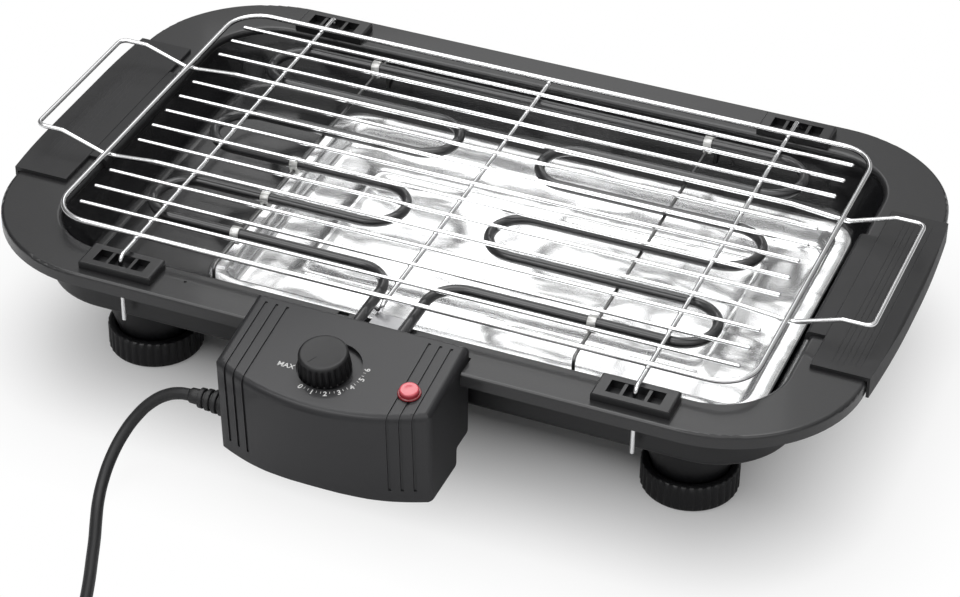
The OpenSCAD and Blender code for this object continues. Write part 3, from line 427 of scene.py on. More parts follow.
def recipe(name, **sizes):
    """An empty tree with its named inputs, and the net and inputs to build it with."""
    tree = bpy.data.node_groups.new(name, "GeometryNodeTree")
    for way in ("OUTPUT", "INPUT"):
        tree.interface.new_socket("Geometry", in_out=way, socket_type="NodeSocketGeometry")
    kinds = {float: "NodeSocketFloat", int: "NodeSocketInt"}
    for label, value in sizes.items():
        socket = tree.interface.new_socket(
            label.replace("_", " "), in_out="INPUT",
            socket_type=kinds.get(type(value), "NodeSocketMaterial"))
        if value is not None:
            socket.default_value = value
    net = Net(tree)
    entry = tree.nodes.new("NodeGroupInput")
    given = {s.name: Value(net, s) for s in entry.outputs if s.name}
    return tree, net, given


def deliver(net, geometry, material):
    """Ends a tree: real geometry, shaded smooth, with its material."""
    real = net.add("GeometryNodeRealizeInstances", {}, {"Geometry": geometry})
    smooth = net.add("GeometryNodeSetShadeSmooth", {}, {0: real})
    net.end("NodeGroupOutput", net.add("GeometryNodeSetMaterial", {}, {
        "Geometry": smooth, "Material": material}))


# Ribs round a turned body: its skin moves in and out between two heights
ribbing, n, given = recipe("ribbing", Ribs=20, Depth=0.001, Low=0.0, High=0.01,
                           Inner_radius=0.0, Sharpness=1.0, Material=None)
px, py, pz = apart(n, n.add("GeometryNodeInputPosition"))
reach = n.sum("SQRT", px * px + py * py)
wave = 0.5 - 0.5 * n.sum("COSINE", n.sum("ARCTAN2", py, px) * given["Ribs"])
wave = wave ** given["Sharpness"]
inside = (pz > given["Low"]) * (pz < given["High"]) * (reach > given["Inner radius"])
shrink = 1.0 - given["Depth"] * wave * inside / n.sum("MAXIMUM", reach, 0.0001)
spread = n.add("ShaderNodeCombineXYZ", {}, {0: px * shrink, 1: py * shrink, 2: pz})
deliver(n, n.add("GeometryNodeSetPosition", {}, {
    "Geometry": given["Geometry"], "Position": spread}), given["Material"])

plug_form = [(0, 0), (4.4, 0), (4.6, 0.6), (5, 6), (5.6, 13), (8.4, 18), (12, 22),
             (15.5, 25), (17, 27), (17.5, 29), (17.5, 31), (17.5, 34), (17.5, 37),
             (17.5, 40), (17.5, 43.5), (17, 44.6), (16.2, 45), (0, 45)]
mesh = grown(ribbing, turned(plug_form, 120), Ribs=24, Depth=0.0007, Low=0.028,
             High=0.0432, Inner_radius=0.016, Sharpness=3.0, Material=plug_plastic)
lying = Matrix.Rotation(-math.pi / 2, 4, "Y")
mesh.transform(Matrix.Translation(at(coil_x, plug_y, plug_z)) @ lying)
plug = piece("mains_plug", mesh, "heater", "plug_plastic", "plug")

tie = piece("cord_tie_strap", softened("cord_tie", 0.0004), "heater", "cord_rubber",
            "cord_tie", material=cord_rubber)


@finish("pin_brass", IOR=1.5, Metallic=1.0)
def pin_brass(n):
    return {"Base Color": n.mix(n.noise(60), (0.72, 0.68, 0.6), (0.83, 0.8, 0.74)),
            "Roughness": 0.2 + 0.15 * n.noise(200, 4)}


def dress(material, *names):
    """Gives carried-over nodes their material."""
    for name in names:
        skin = nodes[name].data.materials
        skin.clear()
        skin.append(material)


dress(pin_brass, "plug_pins")

at(-93, -190, 52)


# ---------------------------------------------------------------------------
# The frame: one deep-drawn steel sheet with a rolled lip round its opening and
# a folded skirt, sprayed with satin black heat-proof enamel.
# ---------------------------------------------------------------------------

@finish("frame_enamel", IOR=1.5, Coat_Weight=0.3, Coat_Roughness=0.06)
def frame_enamel(n):
    cloud = n.noise(9, 3)
    orange_peel = n.noise(650, 2)
    speck = n.ramp(n.noise(1600, 1), (0.62, 0), (0.7, 1))
    base = n.mix(cloud, (0.014, 0.014, 0.015), (0.021, 0.021, 0.022))
    return {"Base Color": n.mix(0.25 * speck, base, (0.045, 0.045, 0.048)),
            "Roughness": 0.3 + 0.08 * cloud + 0.04 * speck,
            "Normal": n.bump(orange_peel, 0.12, 0.0003)}


dress(frame_enamel, "frame")


# ---------------------------------------------------------------------------
# The pan and the housing below it: the pan is glossy black enamelled steel,
# its studs hold the moulded housing, and steel nuts clamp it from below.
# ---------------------------------------------------------------------------

@finish("pan_enamel", IOR=1.5, Coat_Weight=0.3, Coat_Roughness=0.08)
def pan_enamel(n):
    cloud = n.noise(14, 4, twist=0.6)
    speck = n.ramp(n.cells(900), (0.0, 1), (0.16, 0))
    return {"Base Color": n.mix(0.3 * speck, (0.006, 0.006, 0.007), (0.05, 0.05, 0.055)),
            "Roughness": 0.13 + 0.16 * cloud,
            "Normal": n.bump(n.noise(55, 3), 0.22, 0.0008)}


@finish("housing_plastic", IOR=1.5)
def housing_plastic(n):
    grain = n.cells(1700, "SMOOTH_F1")
    return {"Base Color": n.mix(n.noise(11), (0.003, 0.003, 0.004), (0.006, 0.006, 0.007)),
            "Roughness": 0.3 + 0.16 * n.noise(24, 4),
            "Normal": n.bump(grain, 0.18, 0.0002)}


@finish("zinc_steel", IOR=1.5, Metallic=1.0)
def zinc_steel(n):
    stain = n.noise(120, 4, 0.6)
    return {"Base Color": n.mix(stain, (0.52, 0.53, 0.54), (0.76, 0.77, 0.78)),
            "Roughness": 0.24 + 0.22 * stain,
            "Normal": n.bump(n.noise(900, 3), 0.15, 0.0001)}


dress(pan_enamel, "pan")
dress(housing_plastic, "housing")
dress(zinc_steel, "pan_nuts", "pad_washers", "bracket_washers", "box_screws",
      "knob_shaft", "element_pins")


# ---------------------------------------------------------------------------
# Four screw feet: ribbed black mouldings that turn on a steel stud, which
# runs in a brass insert pressed into the housing's tower.
# ---------------------------------------------------------------------------

@finish("insert_brass", IOR=1.5, Metallic=1.0)
def insert_brass(n):
    return {"Base Color": n.mix(n.noise(140, 4), (0.56, 0.42, 0.2), (0.75, 0.6, 0.33)),
            "Roughness": 0.25 + 0.2 * n.noise(260, 3)}


@finish("foot_plastic", IOR=1.5)
def foot_plastic(n):
    scuff = n.ramp(n.noise(160, 5, 0.7), (0.56, 0), (0.8, 1))
    return {"Base Color": n.mix(scuff, (0.005, 0.005, 0.006), (0.016, 0.016, 0.017)),
            "Roughness": 0.36 + 0.2 * scuff,
            "Normal": n.bump(n.noise(1300, 2), 0.12, 0.0001)}


foot_form = [(0, 0.6), (8, 0.6), (8.6, 0), (24.6, 0), (26.2, 0.3), (27.4, 1.1), (28.2, 2.2),
             (28.2, 5), (28.2, 9), (28.2, 13), (28.2, 16.2), (27.7, 17.2), (26.8, 17.8),
             (25.9, 18), (24.6, 18), (23.9, 17.7), (23.6, 17), (23.6, 12), (23.6, 9.4),
             (23.1, 9), (6.3, 9), (5.6, 8.6), (5.5, 5.5), (3.05, 5.4), (3.05, 2), (0, 2)]
foot_x, foot_y = 168, 91
for mark, word, x, y in (("fl", "front_left", -foot_x, -foot_y),
                         ("fr", "front_right", foot_x, -foot_y),
                         ("bl", "back_left", -foot_x, foot_y),
                         ("br", "back_right", foot_x, foot_y)):
    mesh = grown(ribbing, turned(foot_form, 320), Ribs=36, Depth=0.0008, Low=0.0012,
                 High=0.0172, Inner_radius=0.0256, Sharpness=2.0, Material=foot_plastic)
    mesh.transform(Matrix.Translation(at(x, y, 0)))
    piece("foot_" + word, mesh, "foot_" + word, "foot_plastic", "foot_" + mark)
    dress(zinc_steel, "foot_stud_" + mark)
    dress(insert_brass, "foot_insert_" + mark)


# ---------------------------------------------------------------------------
# Two handle pads: dark heat-proof mouldings pegged on the frame's ends, each
# with a rounded tongue over the opening's lip and fine grip lines on top.
# ---------------------------------------------------------------------------

@finish("pad_plastic", IOR=1.5)
def pad_plastic(n):
    wear = n.noise(18, 4)
    return {"Base Color": n.mix(wear, (0.014, 0.014, 0.015), (0.020, 0.020, 0.021)),
            "Roughness": 0.46 + 0.14 * n.noise(70, 4),
            "Normal": n.bump(n.cells(1500, "SMOOTH_F1"), 0.16, 0.0002)}


# Fine ridges beside each other along Y, from a bar that fades at both ends
ridging, n, given = recipe("ridging", Count=6, Pitch=0.003, Length=0.1, Width=0.0008,
                           Height=0.0003, Material=None)
row = n.add("GeometryNodeMeshLine", {"mode": "OFFSET"}, {
    "Count": given["Count"],
    "Offset": n.add("ShaderNodeCombineXYZ", {}, {0: given["Pitch"], 1: 0.0, 2: 0.0})})
bar = n.add("GeometryNodeMeshCylinder", {"fill_type": "TRIANGLE_FAN"}, {
    "Vertices": 8, "Side Segments": 12, "Radius": 0.5, "Depth": 1.0})
bx, by, bz = apart(n, n.add("GeometryNodeInputPosition"))
fade = n.sum("SQRT", n.sum("MAXIMUM", 1.0 - (2.0 * bz) ** 6.0, 0.02))
shaped = n.add("ShaderNodeCombineXYZ", {}, {
    0: bx * given["Width"], 1: bz * given["Length"], 2: by * fade * given["Height"] * 2.0})
bar = n.add("GeometryNodeSetPosition", {}, {"Geometry": bar, "Position": shaped})
bars = n.add("GeometryNodeInstanceOnPoints", {}, {"Points": row, "Instance": bar})
joined = n.tree.nodes.new("GeometryNodeJoinGeometry")
for part in (given["Geometry"], bars):
    n.tree.links.new(part.socket, joined.inputs[0])
deliver(n, Value(n, joined.outputs[0]), given["Material"])

for side in ("left", "right"):
    piece("pad_" + side + "_body", softened("pad_" + side, 0.0005, sharp=30), "base",
          "pad_plastic", "pad_" + side, material=pad_plastic, angle=None)
# The first line's place on each pad in mm, and how far its lines stand up in metres
lines_z = 93.98
for side, x, height in (("left", -254.5, 0.00007), ("right", 238.5, 0.00022)):
    lines = grown(ridging, bpy.data.meshes.new("none"), Count=6, Pitch=0.0032,
                  Length=0.15, Width=0.0007, Height=height, Material=pad_plastic)
    lines.transform(Matrix.Translation(at(x, 0, lines_z)))
    piece("pad_" + side + "_lines", lines, "base", "pad_plastic")


# ---------------------------------------------------------------------------
# Four rack brackets: glossy black mouldings with a window in three parts,
# through which the rack's pins pass into the frame.
# ---------------------------------------------------------------------------

@finish("bracket_plastic", IOR=1.52, Coat_Weight=0.35, Coat_Roughness=0.1)
def bracket_plastic(n):
    return {"Base Color": n.mix(n.noise(40), (0.006, 0.006, 0.007), (0.010, 0.010, 0.011)),
            "Roughness": 0.3 + 0.14 * n.noise(90, 3),
            "Normal": n.bump(n.noise(800, 2), 0.06, 0.0001)}


for mark in ("fl", "fr", "bl", "br"):
    piece("bracket_" + mark + "_body", softened("bracket_" + mark, 0.0006, sharp=30),
          "base", "bracket_plastic", "bracket_" + mark, material=bracket_plastic,
          angle=None)


# ---------------------------------------------------------------------------
# The drip tray: thin pressed aluminium with a rolled rim, leaning walls and a
# floor stiffened by two raised frames; bright, and slightly wavy all over.
# ---------------------------------------------------------------------------

@finish("tray_aluminium", IOR=1.5, Metallic=1.0)
def tray_aluminium(n):
    rolled = n.noise(30, 4, 0.6, stretch=(1, 14, 1))
    haze = n.noise(10, 3)
    waves = n.noise(16, 2, 0.4, twist=0.5, stretch=(1, 1.7, 1))
    return {"Base Color": n.mix(haze, (0.90, 0.905, 0.91), (0.96, 0.962, 0.965)),
            "Roughness": 0.13 + 0.08 * rolled + 0.05 * haze,
            "Normal": n.bump(waves + 0.01 * rolled, 0.5, 0.006)}


def round_path(half_x, half_y, r):
    """Points round a rectangle with rounded corners, the same number for any size."""
    path, steps = [], 10
    for sx, sy, turn in ((1, 1, 0), (-1, 1, 90), (-1, -1, 180), (1, -1, 270)):
        ox, oy = sx * (half_x - r), sy * (half_y - r)
        ways = [math.radians(turn + 90 * k / steps) for k in range(steps + 1)]
        path += [(ox + r * math.cos(way), oy + r * math.sin(way)) for way in ways]
    return path


def skin_of(rings):
    """A mesh through rings of the same number of points; the last ring is capped."""
    form = bmesh.new()
    rows = [[form.verts.new(p) for p in ring] for ring in rings]
    for a, b in zip(rows, rows[1:]):
        for k in range(len(a)):
            j = (k + 1) % len(a)
            form.faces.new((a[k], a[j], b[j], b[k]))
    form.faces.new(rows[-1])
    return meshed(form, "skin")


# The tray's middle and foot, half its size, and the corner radius of its rim and the
# least radius of its walls and floor, in mm; then the sheet's thickness in metres
tray_x, tray_y, tray_z = 40, -10, 58.8
tray_half_x, tray_half_y = 168, 102
rim_corner, wall_corner, floor_corner = 20, 3, 6
wall_inset, sheet = 18, 0.0006
# Distance in from the rim's edge and height over the tray's foot, in mm
tray_form = [(0.35, 8.9), (0, 9.2), (0, 10.2), (0.3, 10.9), (1.0, 11.2), (4, 11.25),
             (8.6, 11.2), (9.8, 10.9), (10.5, 10.1), (12.6, 5.2), (13.6, 2.6), (14.8, 1.3),
             (16.6, 0.75), (20, 0.7), (30, 0.72), (36, 0.75), (41, 1.0), (43, 1.9),
             (45, 2.3), (47, 1.9), (49, 1.0), (54, 0.75), (62, 0.72), (75, 0.7), (90, 0.72)]
rings = []
for inset, z in tray_form:
    least = floor_corner if inset > 20 else wall_corner
    corner = max(rim_corner - inset * 0.72, least)
    ring = []
    for x, y in round_path(tray_half_x - inset, tray_half_y - inset, corner):
        # The floor is not quite flat: long shallow waves across it
        wave = math.sin(x / 23) * math.sin(y / 17 + 1) if inset > wall_inset else 0
        ring.append(at(tray_x + x, tray_y + y, tray_z + z + 0.175 * wave))
    rings.append(ring)
mesh = worked(skin_of(rings), ("SOLIDIFY", {"thickness": sheet, "offset": -1.0}))
piece("tray_pressing", mesh, "tray", "tray_aluminium", "drip_tray", material=tray_aluminium,
      angle=50)


# ---------------------------------------------------------------------------
# Bent wires: one tree rounds each drawn line's corners and gives it a round
# section. The heater is one long tube, black from its first firing.
# ---------------------------------------------------------------------------

# Points carry their own bend radius, and each line its own half thickness
bending, n, given = recipe("bending", Sides=16, Steps=8, Material=None)
bend, thick = (
    n.add("GeometryNodeInputNamedAttribute", {"data_type": "FLOAT"}, {"Name": word})
    for word in ("bend", "thick"))
drawn = n.add("GeometryNodeMeshToCurve", {}, {"Mesh": given["Geometry"]})
drawn = n.add("GeometryNodeFilletCurve", {"mode": "POLY"}, {
    "Curve": drawn, "Count": given["Steps"], "Radius": bend, "Limit Radius": True})
section = n.add("GeometryNodeCurvePrimitiveCircle", {"mode": "RADIUS"}, {
    "Resolution": given["Sides"], "Radius": 1.0})
deliver(n, n.add("GeometryNodeCurveToMesh", {}, {
    "Curve": drawn, "Profile Curve": section, "Scale": thick, "Fill Caps": True}),
    given["Material"])


def wires(lines, material, sides, steps):
    """Round wires along lines of points in mm; a line is its points, its half thickness,
    its bend radius and whether it closes."""
    verts, edges, bends, halves = [], [], [], []
    for points, half, bend, closed in lines:
        first = len(verts)
        verts += [at(*p) for p in points]
        bends += [bend / 1000] * len(points)
        halves += [half / 1000] * len(points)
        edges += [(k, k + 1) for k in range(first, len(verts) - 1)]
        if closed:
            edges.append((len(verts) - 1, first))
    mesh = bpy.data.meshes.new("lines")
    mesh.from_pydata(verts, edges, [])
    for word, values in (("bend", bends), ("thick", halves)):
        mesh.attributes.new(word, "FLOAT", "POINT").data.foreach_set("value", values)
    return grown(bending, mesh, Sides=sides, Steps=steps, Material=material)


@finish("tube_coating", IOR=1.5, Coat_Weight=0.8, Coat_Roughness=0.06)
def tube_coating(n):
    scale = n.noise(70, 5, 0.65)
    return {"Base Color": n.mix(scale, (0.006, 0.006, 0.007), (0.022, 0.022, 0.024)),
            "Roughness": 0.3 + 0.2 * scale,
            "Normal": n.bump(n.noise(700, 3), 0.2, 0.0002)}


# The tube's radius and height, its rows, and half the distance between them, in mm
tube_r, tube_z = 3.15, 94.998
row_y = [-93 + 39.85 * i for i in range(6)]
half_gap, tube_bend = 19.925, 19.92


def half_tube(sign):
    """The tube's line from its end in the box to the middle of the last row."""
    leg, inner, outer = 1.5 + sign * 13.5, -4.75 + sign * 47.25, sign * 152
    line = [(leg, -149.2, tube_z), (leg, row_y[0], tube_z)]
    for i in range(5):
        x = outer + sign * half_gap if i % 2 == 0 else inner - sign * half_gap
        line += [(x, row_y[i], tube_z), (x, row_y[i + 1], tube_z)]
    return line


whole = half_tube(1) + half_tube(-1)[::-1]
piece("heating_tube", wires([(whole, tube_r, tube_bend, False)], tube_coating, 24, 14),
      "heater", "tube_coating", "element", angle=60)


@finish("support_steel", IOR=1.5, Metallic=1.0)
def support_steel(n):
    heat = n.noise(50, 3)
    return {"Base Color": n.mix(heat, (0.16, 0.16, 0.165), (0.34, 0.335, 0.33)),
            "Roughness": 0.3 + 0.2 * heat}


@finish("clip_aluminium", IOR=1.5, Metallic=0.6)
def clip_aluminium(n):
    return {"Base Color": n.mix(n.noise(120), (0.74, 0.74, 0.72), (0.84, 0.84, 0.82)),
            "Roughness": 0.4 + 0.15 * n.noise(300, 3),
            "Normal": n.bump(n.noise(500, 2), 0.2, 0.0002)}


support_y, foot_z, bar_z = 122.4, 71, 90.85
for side, x in (("left", -111), ("right", 107)):
    line = [(x, -support_y, foot_z), (x, -support_y, bar_z), (x, support_y, bar_z),
            (x, support_y, foot_z)]
    piece("support_wire_" + side, wires([(line, 1.0, 4, False)], support_steel, 12, 6),
          "heater", "support_steel", "support_" + side, angle=60)
    piece("tube_clips_" + side, softened("clips_" + side, 0.0003), "heater",
          "clip_aluminium", "clips_" + side, material=clip_aluminium)


@finish("hook_steel", IOR=1.5, Metallic=1.0)
def hook_steel(n):
    return {"Base Color": n.mix(n.noise(90), (0.42, 0.42, 0.43), (0.6, 0.6, 0.61)),
            "Roughness": 0.3 + 0.15 * n.noise(220, 3)}


dress(hook_steel, "mount_plate")


# ---------------------------------------------------------------------------
# The control box: a moulded satin shell with a bowed front and a sloping top.
# Three grooves run over each side; a screwed cover closes it from below.
# ---------------------------------------------------------------------------

@finish("box_plastic", IOR=1.42, Coat_Weight=0.2, Coat_Roughness=0.1)
def box_plastic(n):
    cloud = n.noise(16, 3)
    spark = n.cells(2100, "SMOOTH_F1")
    return {"Base Color": n.mix(cloud, (0.017, 0.017, 0.019), (0.024, 0.024, 0.026)),
            "Roughness": 0.36 + 0.1 * cloud,
            "Normal": n.bump(spark, 0.2, 0.0002)}


piece("control_box", softened("box_shell", 0.00045, sharp=25), "heater", "box_plastic",
      "box_shell", material=box_plastic, angle=None)
dress(housing_plastic, "box_cover")

# The top's slope, and the line across it that lies at a known height, in mm
slope, level_y, level_z = math.radians(9.26), -147, 100


def on_top(x, y):
    """A place on the box's sloping top, turned square to it."""
    z = level_z + math.tan(slope) * (y - level_y)
    return Matrix.Translation(at(x, y, z)) @ Matrix.Rotation(slope, 4, "X")


knob_place, lamp_place = on_top(-12, -187), on_top(39, -190)


@finish("dial_paint", IOR=1.45)
def dial_paint(n):
    worn = n.ramp(n.noise(1100, 3), (0.3, 0), (0.42, 1))
    return {"Base Color": n.mix(worn, (0.4, 0.4, 0.4), (0.8, 0.8, 0.79)),
            "Roughness": 0.5 + 0.1 * worn}


def printed(word, size, x, y, turn):
    """A word as a thin raised print, centred at x and y from the dial's middle, in mm."""
    text = bpy.data.curves.new("print", "FONT")
    text.body, text.size, text.extrude = word, size / 1000, 0.00004
    text.align_x, text.align_y = "CENTER", "CENTER"
    text.offset = size * 0.000018
    text.resolution_u = 3
    mesh = evaluated(put("holder", text))
    mesh.transform(knob_place @ Matrix.Translation((x / 1000, y / 1000, 0.00005))
                   @ Matrix.Rotation(math.radians(turn), 4, "Z"))
    return mesh


# The ring of digits lies round the recess, a little beside the knob's axis
dial_x, dial_y, digit_step = 2, 1.6, 20.7


def round_dial(word, size, r, degrees):
    """A word on the dial's ring, its foot turned to the middle."""
    way = math.radians(degrees)
    return printed(word, size, dial_x + r * math.cos(way), dial_y + r * math.sin(way),
                   math.degrees(way) + 90)


def together(meshes, name):
    """Several meshes as one."""
    form = bmesh.new()
    for mesh in meshes:
        form.from_mesh(mesh)
    return meshed(form, name)


marks = [printed("MAX", 4.6, -20.4, -5.9, 0)]
for k, word in enumerate("0123456"):
    marks.append(round_dial(word, 4.6, 21.2, -113.7 + k * digit_step))
# Two ticks stand between every two digits, a third of the way apart
for k in range(12):
    marks.append(round_dial("I", 2.0, 20.4, -106.8 + k // 2 * digit_step + k % 2 * 6.9))
piece("dial_print", together(marks, "dial_print"), "heater", "box_plastic",
      material=dial_paint, angle=20)


# ---------------------------------------------------------------------------
# Inside the box: the thermostat on its shaft, a ceramic terminal block, the
# lamp's neon and the lead's cores behind its clamp. Seen only when opened.
# ---------------------------------------------------------------------------

@finish("thermostat_body", IOR=1.5)
def thermostat_body(n):
    return {"Base Color": n.mix(n.noise(120, 4), (0.5, 0.44, 0.3), (0.62, 0.56, 0.4)),
            "Roughness": 0.5 + 0.2 * n.noise(90)}


@finish("block_plastic", IOR=1.5)
def block_plastic(n):
    return {"Base Color": n.mix(n.noise(150, 4), (0.7, 0.68, 0.6), (0.8, 0.78, 0.7)),
            "Roughness": 0.55 + 0.2 * n.noise(200),
            "Normal": n.bump(n.noise(900, 3), 0.3, 0.0001)}


@finish("neon_glass", IOR=1.5)
def neon_glass(n):
    return {"Base Color": n.mix(n.noise(200), (0.75, 0.5, 0.42), (0.85, 0.62, 0.52)),
            "Roughness": 0.1 + 0.05 * n.noise(300)}


@finish("core_insulation", IOR=1.5)
def core_insulation(n):
    return {"Base Color": n.mix(n.noise(80), (0.02, 0.02, 0.021), (0.035, 0.035, 0.036)),
            "Roughness": 0.45 + 0.15 * n.noise(160)}


dress(thermostat_body, "thermostat")
dress(block_plastic, "terminal_block", "cord_clamp")
dress(neon_glass, "pilot_neon")
dress(core_insulation, "inner_wires")


# ---------------------------------------------------------------------------
# The pilot lamp: a red moulded lens, a nearly flat button in a low ring, pushed into its
# hole in the box's top. Painted light: the top is lighter pink with a faint glow, the side
# and ring darker red.
# ---------------------------------------------------------------------------

@finish("lens_red", IOR=1.55, Coat_Weight=0.6, Coat_Roughness=0.03, Emission_Strength=1.0)
def lens_red(n):
    middle = lamp_place @ Vector((0, 0, 0.003))
    x, y, z = apart(n, n.place(shift=tuple(-c for c in middle)))
    # Painted light: ring is 0 on the button's top, which gets a lighter pink and a faint
    # red glow as if lit from within, and 1 past it, where the side and the low ring stay a
    # darker red
    ring = n.ramp(100 * n.sum("SQRT", x * x + y * y + z * z), (0.50, 0), (0.57, 1))
    return {"Base Color": n.mix(ring, (0.66, 0.09, 0.12), (0.30, 0.012, 0.02)),
            "Roughness": 0.12 + 0.1 * n.noise(300),
            "Emission Color": n.mix(ring, (0.12, 0.015, 0.02), (0.0, 0.0, 0.0))}


lens_form = [(0, -7), (4.4, -7), (4.5, 0.02), (6.2, 0.02), (6.5, 0.3), (6.5, 0.9),
             (6.2, 1.25), (5.9, 1.35), (5.6, 1.25), (5.5, 1.5), (5.45, 2.3), (5.35, 3.0),
             (5.2, 3.45), (4.8, 3.8), (4.4, 3.9), (4.0, 3.85), (2, 4.0), (0, 4.1)]
mesh = turned(lens_form, 64)
mesh.transform(lamp_place)
piece("lamp_lens", mesh, "heater", "lens_red", "pilot_lens", material=lens_red, angle=45)


# ---------------------------------------------------------------------------
# The knob: near-black moulding with a flat top, a broken edge and flutes
# round its side, pushed on the thermostat's shaft in the dial's recess.
# ---------------------------------------------------------------------------

@finish("knob_plastic", IOR=1.5)
def knob_plastic(n):
    shade = n.noise(50, 3)
    return {"Base Color": n.mix(shade, (0.006, 0.006, 0.007), (0.011, 0.011, 0.012)),
            "Roughness": 0.38 + 0.12 * n.noise(120, 4),
            "Normal": n.bump(n.cells(2300, "SMOOTH_F1"), 0.12, 0.0001)}


knob_form = [(0, -1.4), (3.2, -1.4), (3.2, -2), (14.3, -2), (14.8, -1.6), (14.75, 0),
             (14.6, 2), (14.4, 4), (14.2, 6), (14, 8), (13.8, 9.8), (13.5, 10.7),
             (12.9, 11.3), (12.2, 11.5), (11.4, 11.45), (6, 11.3), (0, 11.25)]
mesh = grown(ribbing, turned(knob_form, 240), Ribs=24, Depth=0.0011, Low=-0.0018,
             High=0.0095, Inner_radius=0.0134, Sharpness=2.0, Material=knob_plastic)
mesh.transform(knob_place)
piece("knob_body", mesh, "knob", "knob_plastic", "knob", angle=50)

# The pointer is a short bar on the knob's top, turned to the off end of the dial
pointer = bmesh.new()
bmesh.ops.create_cube(pointer, size=1.0)
bmesh.ops.bevel(pointer, geom=pointer.edges[:], offset=0.18, segments=2, affect="EDGES")
mesh = meshed(pointer, "pointer")
mesh.transform(knob_place @ Matrix.Rotation(math.radians(-118), 4, "Z")
               @ Matrix.Translation((0.0082, 0, 0.01128))
               @ Matrix.Diagonal((0.007, 0.0009, 0.0005, 1)))
piece("knob_pointer", mesh, "knob", "knob_plastic", material=knob_plastic)


# ---------------------------------------------------------------------------
# The strain relief: a tapering black rubber sleeve, cut into ribs so that it
# bends with the lead, snapped into the wall of the box.
# ---------------------------------------------------------------------------

sleeve_form = [(0, -4.2), (6.6, -4.2), (7, -3.8), (7, -2.3), (5, -2.2), (5, 0)]
for k in range(4):
    foot, outer, inner = 4.4 * k, 7.2 - 0.45 * k, 5.3 - 0.3 * k
    sleeve_form += [(inner, foot + 0.05), (outer - 0.4, foot + 0.05),
                    (outer, foot + 0.45), (outer, foot + 2.5),
                    (outer - 0.4, foot + 2.9), (inner, foot + 2.95), (inner, foot + 4.3)]
sleeve_form += [(4.5, 17.7), (4.4, 21.3), (4.1, 21.8), (3.4, 22), (0, 22)]
mesh = turned(sleeve_form, 48)
mesh.transform(Matrix.Translation(at(-71, -190, 52)) @ lying)
piece("strain_sleeve", mesh, "heater", "cord_rubber", "strain_relief", material=cord_rubber,
      angle=40)


# ---------------------------------------------------------------------------
# The rack: bright chromed wires, spot-welded where they cross. A thick frame
# wire lies over thin rods; one long wire makes two rods and both handles, and
# the outer cross wires bend down into pins that hold the rack in its brackets.
# ---------------------------------------------------------------------------

@finish("rack_chrome", IOR=1.5, Metallic=1.0)
def rack_chrome(n):
    haze = n.noise(45, 3)
    return {"Base Color": n.mix(haze, (0.84, 0.845, 0.85), (0.93, 0.93, 0.935)),
            "Roughness": 0.1 + 0.1 * haze,
            "Normal": n.bump(n.noise(420, 2), 0.06, 0.0002)}


rack_x, rack_y = -3, -1.5


def rack_at(points):
    """Points round the rack's own middle, in mm from the frame's middle."""
    return [(x + rack_x, y + rack_y, z) for x, y, z in points]


# The heights at which the wires lie over each other, in mm
cross, rod, handle, rim, grip = 99.9, 102.2, 102.4, 102.6, 109
# Half the frame wire's size, half a rod's length, and the places of the other wires
wire_x, wire_y, rod_x, handle_y, cross_x, pin_y, pin_foot = (
    210, 125.3, 199, 53.7, 154, 145, 56.5)
# The handle wire takes the fourth place from each side, and plain rods the others
rods = [17.9 * i for i in range(-6, 7)]
free_rods = rods[:3] + rods[4:9] + rods[10:]

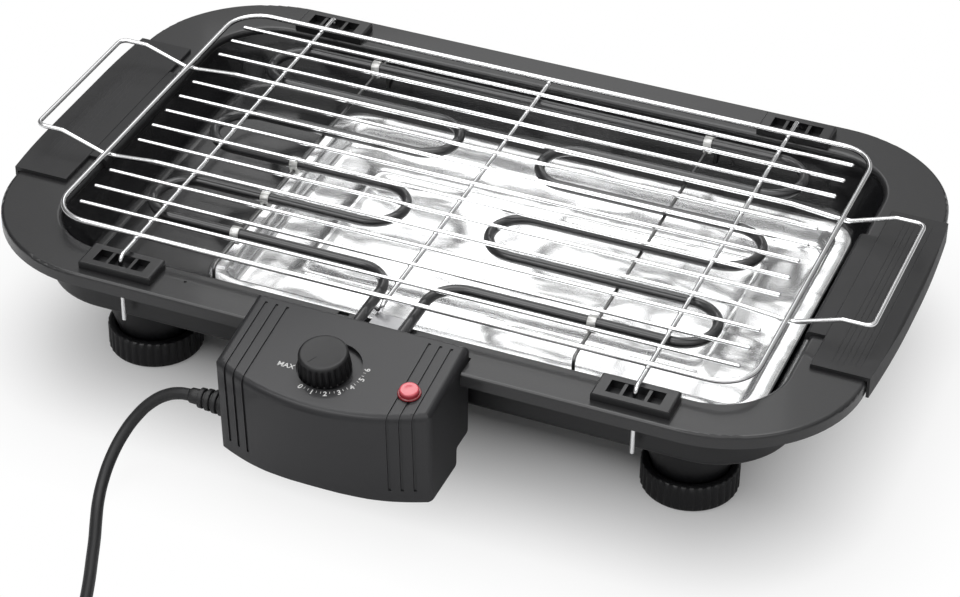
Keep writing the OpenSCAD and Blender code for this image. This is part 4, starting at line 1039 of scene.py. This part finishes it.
# The closed frame wire starts in the middle of a side, so that its ends have no corner
frame_line = [(0, -wire_y, rim), (wire_x, -wire_y, rim), (wire_x, wire_y, rim),
              (-wire_x, wire_y, rim), (-wire_x, -wire_y, rim)]
rod_lines = [[(-rod_x, y, rod), (rod_x, y, rod)] for y in free_rods]
half_side = [(179, handle), (205, cross), (214, cross), (240.5, grip), (257.5, grip)]
right_side = [(x, -handle_y, z) for x, z in half_side]
right_side += [(x, handle_y, z) for x, z in half_side[::-1]]
loop_line = right_side + [(-x, -y, z) for x, y, z in right_side]
left_pins, right_pins = (
    [(x, -pin_y, pin_foot), (x, -pin_y, cross), (x, pin_y, cross), (x, pin_y, pin_foot)]
    for x in (-cross_x, cross_x))
hooked = [(0, 127.3, cross), (0, -128.3, cross), (-1.5, -128.3, cross - 5),
          (-5, -126.3, cross - 5)]
for name, node, lines, half, bend, closed in (
        ("rack_frame_wire", "rack_frame", [frame_line], 1.6, 22, True),
        ("rack_rod_wires", "rack_rods", rod_lines, 1.2, 0, False),
        ("rack_handle_wire", "rack_loop", [loop_line], 1.4, 5, True),
        ("rack_cross_left", "cross_left", [left_pins], 1.4, 4, False),
        ("rack_cross_right", "cross_right", [right_pins], 1.4, 4, False),
        ("rack_cross_middle", "cross_centre", [hooked], 1.4, 2.2, False)):
    placed = [(rack_at(line), half, bend, closed) for line in lines]
    piece(name, wires(placed, rack_chrome, 20, 9), "rack", "rack_chrome", node, angle=60)

# Flattened weld spots where the wires meet, and rounded ends on the free wires
spotting, n, given = recipe("spotting", Size=0.0016, Flatness=0.5, Material=None)
bead = n.add("GeometryNodeMeshUVSphere", {}, {
    "Segments": 12, "Rings": 7, "Radius": given["Size"]})
flat = n.add("ShaderNodeCombineXYZ", {}, {0: 1.0, 1: 1.0, 2: given["Flatness"]})
deliver(n, n.add("GeometryNodeInstanceOnPoints", {}, {
    "Points": given["Geometry"], "Instance": bead, "Scale": flat}), given["Material"])


def spots(points, size, flatness):
    """A bead at each point of the rack, of this radius in metres."""
    mesh = bpy.data.meshes.new("spots")
    mesh.from_pydata([at(*p) for p in rack_at(points)], [], [])
    return grown(spotting, mesh, Size=size, Flatness=flatness, Material=rack_chrome)


# Where a rod or the frame wire lies on a cross wire, and where it lies on a handle's
weld_z, handle_weld_z = 101.2, 101.1
crosses = (-cross_x, 0, cross_x)
joints = [(x, y, weld_z) for x in crosses for y in rods]
joints += [(x, y, weld_z) for x in crosses for y in (-wire_y, wire_y)]
joints += [(x, y, handle_weld_z) for x in (-wire_x, wire_x)
           for y in (-handle_y, handle_y)]
ends = [(x, y, rod) for x in (-rod_x, rod_x) for y in free_rods]
welds = together([spots(joints, 0.0019, 0.42), spots(ends, 0.0012, 1.0)], "welds")
piece("rack_welds", welds, "rack", "rack_chrome", material=rack_chrome, angle=None)
